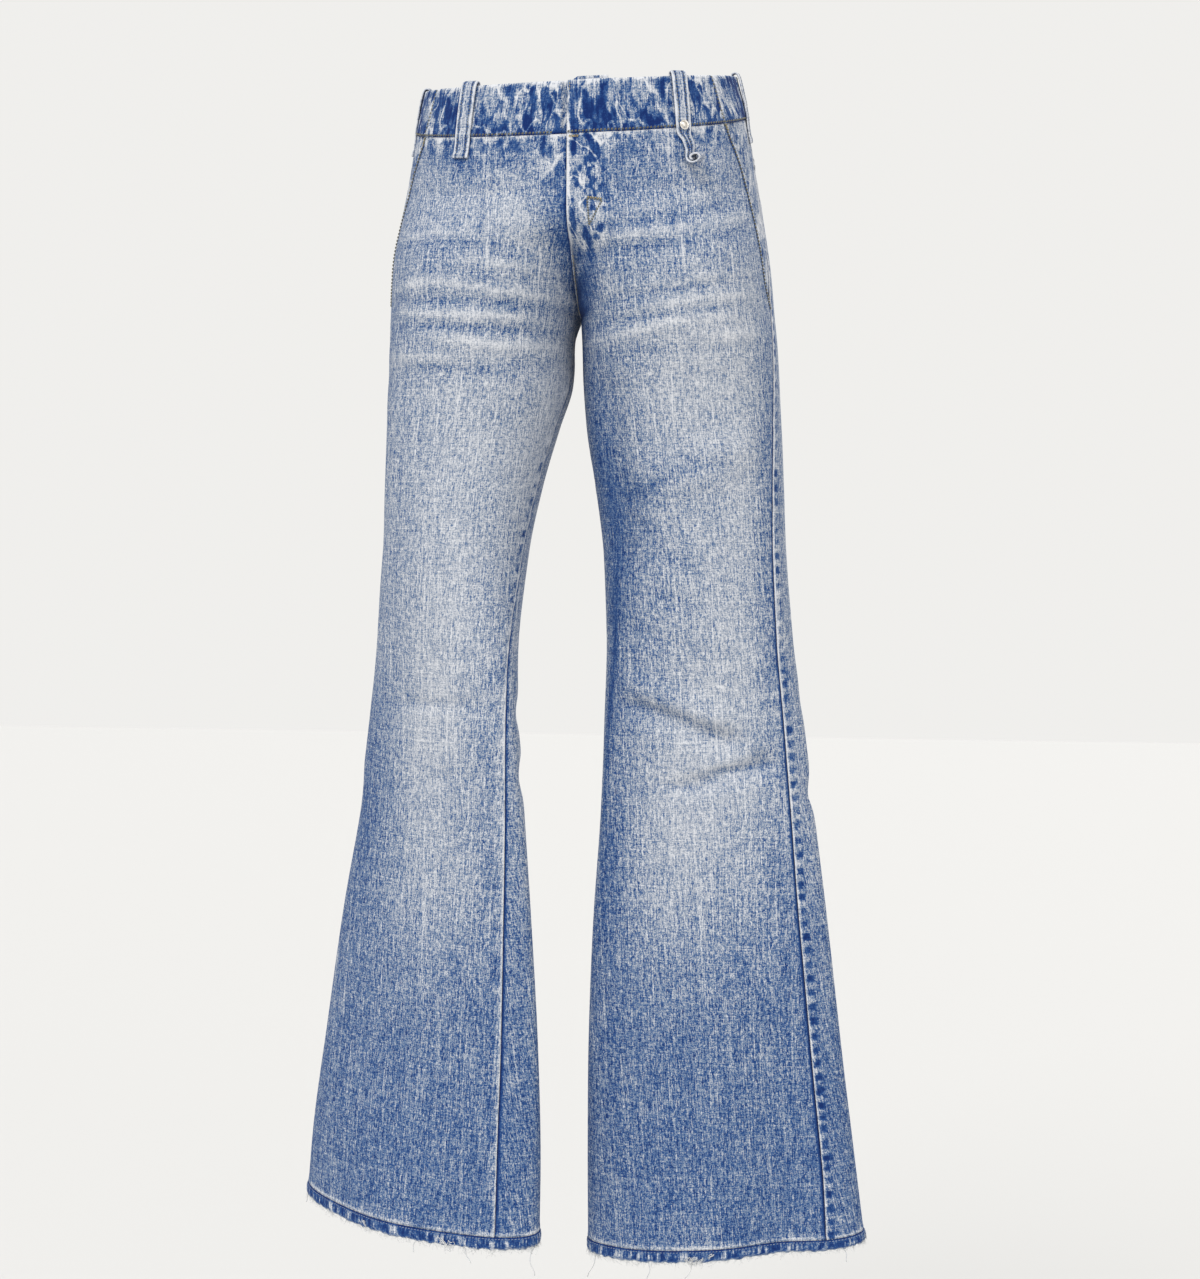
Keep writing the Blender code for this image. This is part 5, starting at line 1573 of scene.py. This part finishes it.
# %% [markdown]
# ## Stitches
#
# Every seam here is sewn by machine, so a stitch is a short grain of thread that rises
# from the cloth and dips back in. One low grain of sixteen triangles is placed again and
# again along a line on the cloth: beside an edge, or between two places. The thread was
# golden and has aged to a dull olive, brighter at the bar-tacks, which are packed rows.
# At the hems it is blue, and the frayed yarns further down are white.

# %% Thread


def thread_material(name, colour, dark):
    """Twisted yarn: its colour varies along the thread."""
    made, shader, start = new_material(name, roughness=0.8)
    place = start.node("ShaderNodeTexCoord", output="Object")
    grain = start.node("ShaderNodeTexNoise", {"Vector": place, "Scale": 900.0, "Detail": 2.0})
    patches = start.node("ShaderNodeTexNoise", {"Vector": place, "Scale": 70.0, "Detail": 2.0})
    share = (grain * 0.9 + patches * 0.9 - 0.4).clamp()
    shown = start.node(
        "ShaderNodeMix", {0: share, 6: (*dark, 1.0), 7: (*colour, 1.0)}, output=2, data_type="RGBA")
    connect(shown, shader.inputs["Base Color"])
    bump = start.node("ShaderNodeBump", {"Height": grain, "Strength": 0.4, "Distance": 0.0003})
    connect(bump, shader.inputs["Normal"])
    shader.inputs["Sheen Weight"].default_value = 0.2
    return made


OLIVE_THREAD = thread_material("olive_thread", (0.20, 0.185, 0.115), (0.018, 0.028, 0.042))
GOLD_THREAD = thread_material("gold_thread", (0.50, 0.40, 0.18), (0.17, 0.13, 0.06))
BLUE_THREAD = thread_material("blue_thread", (0.30, 0.36, 0.44), (0.05, 0.09, 0.20))
WHITE_YARN = thread_material("white_yarn", (0.80, 0.79, 0.76), (0.42, 0.45, 0.50))
print("four threads ready")

# %% Lines on the cloth


def line_beside(grid, edge, away, ends=(0.0, 1.0), above=0.0):
    """Points on a cloth's outer face beside one of its edges, and the directions out."""
    values = [grid["outer"] + above * grid["out"], grid["out"], grid["body"]]
    if edge in ("top", "bottom"):
        values = [value.swapaxes(0, 1) for value in values]
    if edge in ("bottom", "last"):
        values = [value[:, ::-1] for value in values]
    outer, out, body = values
    from_edge = run_lengths(body, 1)
    first, last = (round(end * (len(body) - 1)) for end in ends)
    rows = range(first, last + 1)

    def at_distance(value):
        """Each row's point at that distance from the edge."""
        return np.array([[np.interp(away, from_edge[k], value[k, :, i]) for i in range(3)] for k in rows])

    return at_distance(outer), at_distance(out)


STITCH_SHARES = np.array([0.0, 0.2, 0.8, 1.0])
STITCH_FACES = [(0, 2 + (k + 1) % 4, 2 + k) for k in range(4)]
STITCH_FACES += [(2 + k, 2 + (k + 1) % 4, 6 + (k + 1) % 4, 6 + k) for k in range(4)]
STITCH_FACES += [(1, 6 + k, 6 + (k + 1) % 4) for k in range(4)]


def stitches(lines, length=2.3, gap=0.7, width=1.0, height=0.45):
    """Grains of thread along each line: their points and faces."""
    points, faces = [], []
    for path, out in lines:
        travelled = run_lengths(path[None], 1)[0]
        count = int(travelled[-1] // (length + gap))
        starts = (np.arange(count) + 0.5) * travelled[-1] / count - length / 2
        for start in starts:
            at = [np.array([np.interp(start + share * length, travelled, path[:, i]) for i in range(3)])
                  for share in STITCH_SHARES]
            up = np.array([np.interp(start, travelled, out[:, i]) for i in range(3)])
            up = up / np.linalg.norm(up)
            side = np.cross(at[3] - at[0], up)
            side = side / np.linalg.norm(side) * width / 2
            ring = [side, up * height, -side, -up * 0.3]
            base = len(points)
            points += [at[0] - up * 0.25, at[3] - up * 0.25]
            points += [at[1] + spot + side * 0.25 for spot in ring]
            points += [at[2] + spot - side * 0.25 for spot in ring]
            faces += [tuple(base + k for k in face) for face in STITCH_FACES]
    return points, faces


def plain_piece(name, points, faces, material, slot):
    """Makes one closed mesh of small parts that rides on the jeans."""
    mesh = bpy.data.meshes.new(name)
    mesh.from_pydata([tuple(point) for point in np.array(points) * MM], [], faces)
    form = bmesh.new()
    form.from_mesh(mesh)
    bmesh.ops.recalc_face_normals(form, faces=form.faces)
    form.to_mesh(mesh)
    form.free()
    mesh.shade_smooth()
    mesh.materials.append(material)
    piece = bpy.data.objects.new(name, mesh)
    bpy.context.collection.objects.link(piece)
    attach(piece, "root")
    print(f"{name}: {len(mesh.polygons)} faces")
    return piece


def sew(name, lines, material, **sizes):
    """One piece of sewing: stitches along all its lines."""
    return plain_piece(name, *stitches(lines, **sizes), material, "thread")


print("a stitch has", len(STITCH_FACES), "faces")

# %% Sewing the seams
sew("waistband_stitches", [line_beside(bands[name], "bottom", 1.5) for name in ("left", "back")]
    + [line_beside(bands["right"], "bottom", 1.5, ends=(0.0, 0.66))]
    + [line_beside(bands[name], "last" if name == "left" else "first", 2.2) for name in ("left", "right")],
    OLIVE_THREAD, width=1.8, height=0.6)
mouth_share = (POCKET_END_DROP - BAND_SEAM) / (HEM_DROP[LEFT] - HEM_HEIGHT - BAND_SEAM)
sew("pocket_stitches", [line_beside(fronts[side], "last", 2.6, (0.0, mouth_share), 0.3) for side in fronts],
    OLIVE_THREAD, width=2.3, height=0.9)
sew("yoke_stitches", [line_beside(yokes[side], "bottom", away) for side in yokes for away in (1.6, 7.0)]
    + [line_beside(yokes[LEFT], "last", away) for away in (1.6, 7.0)], OLIVE_THREAD)
rise_share = (CROTCH_DROP - YOKE_SIDE_DROP) / (HEM_DROP[LEFT] - HEM_HEIGHT - YOKE_SIDE_DROP)
sew("back_rise_stitches", [line_beside(backs[LEFT], "last", away, ends=(0.0, rise_share * 0.97))
                           for away in (1.6, 7.0)], OLIVE_THREAD)
sew("loop_stitches", [line_beside(grid, edge, 3.2) for grid in loops.values() for edge in ("first", "last")],
    OLIVE_THREAD, length=2.0, gap=0.6, width=1.0, height=0.35)
sew("hem_stitches", [line_beside(grid, "top", 1.5) for grid in hems.values()], BLUE_THREAD, width=0.8)


# %% The fly's thread and the bar-tacks
def across_front(places, side=LEFT, above=0.0):
    """A line through places (drop, mm from the middle) on a front's outer face."""
    drop, away = np.array(places, float).T
    body = body_point(side, drop, -1.0, away)
    out = outward(side, drop, -1.0, away)
    lift = fold_height(side, body) + crease_height(side, body)[0]
    lift = lift + (fly_lift(drop, body[:, 0]) if side == LEFT else 0.0)
    return body + out * (lift + above)[:, None], out


def packed(start, end, width, step=0.75):
    """A bar-tack's back and forth line, from start to end (drop, mm from the middle)."""
    start, end = np.array(start, float), np.array(end, float)
    run = end - start
    count = max(2, round(np.linalg.norm(run) / step))
    side = np.array([-run[1], run[0]]) / np.linalg.norm(run) * width / 2
    turns = np.arange(count + 1)
    return start + run * (turns / count)[:, None] + side * np.where(turns % 2, 1, -1)[:, None]


TRIANGLE = ((100.5, 17.0), (103.0, 29.5), (126.5, 19.5), (100.5, 17.0))
TRIANGLE_TOP = ((99.1, 17.0), (101.7, 29.5))
RISE_THREAD = ((152.0, 1.6), (200.0, 1.6))
FRONT_TACK = ((38.6, 1.5), (38.6, 9.5))


def straight(start, end, count=12):
    """Places from start to end, close enough to follow the cloth between them."""
    return np.linspace(start, end, count)


sew("fly_tack", [across_front(straight(a, b), above=0.25) for a, b in zip(TRIANGLE, TRIANGLE[1:])],
    OLIVE_THREAD, length=1.9, gap=0.25, width=1.4, height=0.6)
sew("fly_tack_top", [across_front(straight(*TRIANGLE_TOP), above=0.25)],
    GOLD_THREAD, length=1.9, gap=0.2, width=1.3, height=0.6)
sew("rise_thread", [across_front(straight(*RISE_THREAD, count=30), above=0.1)],
    GOLD_THREAD, length=3.0, gap=0.5, width=0.9)
tacks = [across_front(packed(*FRONT_TACK, 2.4), above=0.2)]
for side, grid in fronts.items():
    tacks += [line_beside(grid, "top", away, ends=(0.91, 1.0)) for away in (0.7, 1.5, 2.3)]
    tacks += [line_beside(grid, "last", away, ends=(0.0, 0.007)) for away in (0.8, 1.6)]
tacks.append(line_beside(bands["left"], "first", 2.2, ends=(0.08, 0.24)))
sew("bar_tacks", tacks, GOLD_THREAD, length=1.9, gap=0.05, width=0.9, height=0.6)

# %% [markdown]
# ## Rivet
#
# A pressed rivet holds the left front loop: a thin ring with a small dome in it. It is
# made as one round piece: a disc whose top is inset again and again, sunk beside the
# rim and raised in the middle, with its edges rounded. The zip and the waist hook lie
# hidden behind the fly, so they keep the model's own form and only get their metal.

# %% Rivet
RIVET_RADIUS, RIVET_REACH = 4.1, 34.5
STRAP_FRONT = -100
DOME_RINGS = ((0.3, 0.75), (0.35, 0.42), (0.5, 0.28), (0.6, 0.12))


def metal_material(name, colour, roughness, tarnish):
    """Worn metal with duller, darker spots."""
    made, shader, start = new_material(name, metallic=1.0)
    place = start.node("ShaderNodeTexCoord", output="Object")
    spots = start.node("ShaderNodeTexNoise", {"Vector": place, "Scale": 420.0, "Detail": 3.0})
    share = spots.between(0.42, 0.70)
    shown = start.node(
        "ShaderNodeMix", {0: share, 6: (*colour, 1.0), 7: (*tarnish, 1.0)}, output=2, data_type="RGBA")
    connect(shown, shader.inputs["Base Color"])
    connect(share * 0.25 + roughness, shader.inputs["Roughness"])
    return made


NICKEL = metal_material("worn_nickel", (0.78, 0.75, 0.70), 0.28, (0.52, 0.47, 0.40))
BRASS = metal_material("old_brass", (0.56, 0.43, 0.20), 0.38, (0.30, 0.22, 0.12))


def flat_faces(obj, height):
    """Selects the faces that look straight up at a height, in edit mode."""
    form = bmesh.from_edit_mesh(obj.data)
    for face in form.faces:
        face.select_set(face.normal.z > 0.9 and abs(face.calc_center_median().z - height) < 1e-5)
    bmesh.update_edit_mesh(obj.data)


def rivet_place():
    """The middle of the loose loop's outer face at the rivet's height, and its direction."""
    grid = loops["belt_loop_front_left"]
    middle = grid["drop"].shape[1] // 2
    # The strap passes this height twice, first behind the waistband.
    behind = grid["body"][:, middle, 1] > STRAP_FRONT
    row = int(np.argmin(np.abs(grid["drop"][:, middle] - RIVET_REACH) + OUT_OF_REACH * behind))
    return Vector(grid["outer"][row, middle] * MM), Vector(grid["out"][row, middle])


def make_rivet():
    """A disc, its top shaped by insets, set on the strap."""
    centre, axis = rivet_place()
    bpy.ops.mesh.primitive_cylinder_add(vertices=40, radius=RIVET_RADIUS * MM, depth=0.8 * MM)
    rivet = bpy.context.object
    rivet.name = "loop_rivet_domed"
    bpy.ops.object.mode_set(mode="EDIT")
    bpy.ops.mesh.select_mode(type="FACE")
    top = 0.4 * MM
    flat_faces(rivet, top)
    bpy.ops.mesh.inset(thickness=0.5 * MM, depth=0.25 * MM)
    bpy.ops.mesh.inset(thickness=0.9 * MM, depth=-0.35 * MM)
    for thickness, depth in DOME_RINGS:
        bpy.ops.mesh.inset(thickness=thickness * MM, depth=depth * MM)
    bpy.ops.object.mode_set(mode="OBJECT")
    bpy.ops.object.modifier_add(type="BEVEL")
    rivet.modifiers[0].width = 0.12 * MM
    rivet.modifiers[0].segments = 2
    rivet.modifiers[0].limit_method = "ANGLE"
    bpy.ops.object.modifier_apply(modifier=rivet.modifiers[0].name)
    rivet.rotation_euler = axis.to_track_quat("Z", "Y").to_euler()
    rivet.location = centre + axis * 0.55 * MM
    bpy.ops.object.transform_apply(location=True, rotation=True, scale=True)
    bpy.ops.object.shade_smooth_by_angle(angle=math.radians(35))
    rivet.data.materials.append(NICKEL)
    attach(rivet, "root")
    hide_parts("loop_rivet")
    bpy.ops.object.select_all(action="DESELECT")
    print("rivet:", len(rivet.data.polygons), "faces")


make_rivet()
for name, finish in (("zip", BRASS), ("waist_hook", NICKEL)):
    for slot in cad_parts[name].material_slots:
        slot.material = finish

# %% [markdown]
# ## Frayed hem edge
#
# The folded edge is worn open, and short weft yarns stand out of it all round, with a
# few long threads that have pulled loose and small knots of yarn that lie on the hem.
# They are drawn as thin three-sided strands that bend at random, from just inside the
# edge. The cut end of the loose belt loop frays in the same way.

# %% Strands


def strands(paths, thickness, taper=0.5):
    """Thin three-sided tubes along paths that all have the same number of points."""
    paths = np.asarray(paths, float)
    count, steps = paths.shape[:2]
    ahead = np.gradient(paths, axis=1)
    aside = np.cross(ahead, (0.3, 0.9, 0.2))
    aside = aside / np.linalg.norm(aside, axis=-1, keepdims=True)
    other = np.cross(ahead, aside)
    other = other / np.linalg.norm(other, axis=-1, keepdims=True)
    radius = (thickness / 2 * (1 - (1 - taper) * np.linspace(0, 1, steps)))[None, :, None]
    ring = [paths + radius * (math.cos(turn) * aside + math.sin(turn) * other)
            for turn in (0, 2 * math.pi / 3, 4 * math.pi / 3)]
    points = np.stack(ring, axis=2).reshape(-1, 3)
    faces = []
    for k in range(count):
        base = k * steps * 3
        faces.append((base, base + 1, base + 2))
        for step in range(steps - 1):
            low = base + step * 3
            faces += [(low + j, low + (j + 1) % 3, low + 3 + (j + 1) % 3, low + 3 + j) for j in range(3)]
        last = base + (steps - 1) * 3
        faces.append((last + 2, last + 1, last))
    return list(points), faces


def with_more(made, more):
    """Two sets of points and faces as one."""
    points, faces = made
    more_points, more_faces = more
    return points + more_points, faces + [tuple(len(points) + k for k in face) for face in more_faces]


print("strands ready")

# %% Frayed edges
FIBRES, TUFT_FIBRES, LOOP_FIBRES = 900, 26, 60
# Where round each hem the knots of yarn lie.
TUFTS = {LEFT: (-0.365, -0.345, -0.32, 0.25), RIGHT: (-0.62, -0.86, 0.40)}
# Each long thread's round, length and lean.
LONG_THREADS = {
    LEFT: ((-0.67, 24, -0.35), (-0.475, 16, 0.1), (-0.36, 20, -0.35), (0.05, 14, 0.3), (0.5, 17, 0.2)),
    RIGHT: ((0.84, 25, 0.15), (-0.915, 13, -0.4), (-0.78, 11, 0.3), (-0.30, 11, 0.3), (0.4, 15, -0.2)),
}


def hanging(side, part_round, length, lean, out, steps, bend):
    """A path that leaves the hem's edge and falls, from one place on the ring."""
    down = np.linspace(0, 1, steps)
    drop = HEM_DROP[side] - 1.2 + length * down
    shift = lean * length * down + bend * np.sin(math.pi * 1.6 * down) * down
    lift = -0.7 + out * length * down ** 1.5
    return body_with_lift(side, drop, part_round, shift, lift)


def body_with_lift(side, drop, part_round, shift, lift):
    """Points on the body and its folds, moved out by a lift."""
    body = body_point(side, drop, part_round, shift)
    return body + outward(side, np.minimum(drop, HEM_DROP[side] - 2), part_round) * (
        fold_height(side, body) + lift)[..., None]


def tuft(side, random):
    """Knots of loose yarn that lie on the hem band: their paths."""
    one_each = (TUFT_FIBRES, 1)
    part_round = random.choice(TUFTS[side], one_each) + random.normal(0, 0.010, one_each)
    turn = random.uniform(0, 6.3, one_each) + np.linspace(0, 2.4, 7)
    size = random.uniform(1.2, 4.0, one_each)
    drop = HEM_DROP[side] - random.uniform(-1.0, 6.0, one_each) + size * np.sin(turn)
    lift = random.uniform(1.6, 2.6, one_each) + 0.5 * np.cos(turn)
    return body_with_lift(side, drop, part_round + 0 * turn, size * np.cos(1.3 * turn), lift)


def short_fibres(side, random):
    """Short yarns all round the hem's edge: their paths."""
    one_each = (FIBRES, 1)
    rounds = random.uniform(-1, 1, one_each)
    length = random.gamma(2.2, 1.15, one_each) + 1.0
    length = np.minimum(length, 7.5)
    down = np.linspace(0, 1, 4)
    lean = random.normal(0, 0.55, one_each)
    curl_aside = random.normal(0, 0.45, one_each) * length
    drop = HEM_DROP[side] - 1.0 + length * down * (1 - 0.25 * np.abs(lean) * down)
    shift = lean * length * down + curl_aside * down ** 2
    lift = random.uniform(-1.9, 0.5, one_each) + random.normal(0, 0.3, one_each) * length * down
    return body_with_lift(side, drop, rounds + 0 * drop, shift, lift)


def frayed_edge(side):
    """One hem's fray: short fibres, long threads and knots of yarn."""
    random = np.random.default_rng(60 + side)
    made = strands(short_fibres(side, random), 0.42)
    for part_round, length, lean in LONG_THREADS[side]:
        path = hanging(side, part_round, length, lean, 0.12, 14, 0.18 * length)
        made = with_more(made, strands(path[None], 1.1, taper=0.8))
    made = with_more(made, strands(tuft(side, random), 0.7, taper=0.8))
    piece = plain_piece(f"fray_threads_{HANDS[side]}", *made, WHITE_YARN, "thread")
    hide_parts(f"fray_{HANDS[side]}")


for side in (LEFT, RIGHT):
    frayed_edge(side)


def curl_fray():
    """Short yarns along the edge of the loose loop's curl, where the strap is worn open."""
    random = np.random.default_rng(66)
    strap = loops["belt_loop_front_left"]["body"]
    rows = random.integers(len(strap) - 12, len(strap), LOOP_FIBRES)
    roots = strap[rows, -1]
    aside = roots - strap[rows, -3]
    aside = aside / np.linalg.norm(aside, axis=-1, keepdims=True)
    lean = random.normal(0, 0.5, (LOOP_FIBRES, 3))
    length = random.uniform(0.8, 3.4, (LOOP_FIBRES, 1, 1))
    down = np.linspace(-0.15, 1, 5)[None, :, None]
    paths = roots[:, None] + length * (down * aside[:, None] + down ** 2 * lean[:, None])
    plain_piece("loop_fray_threads", *strands(paths, 0.4), WHITE_YARN, "thread")


curl_fray()
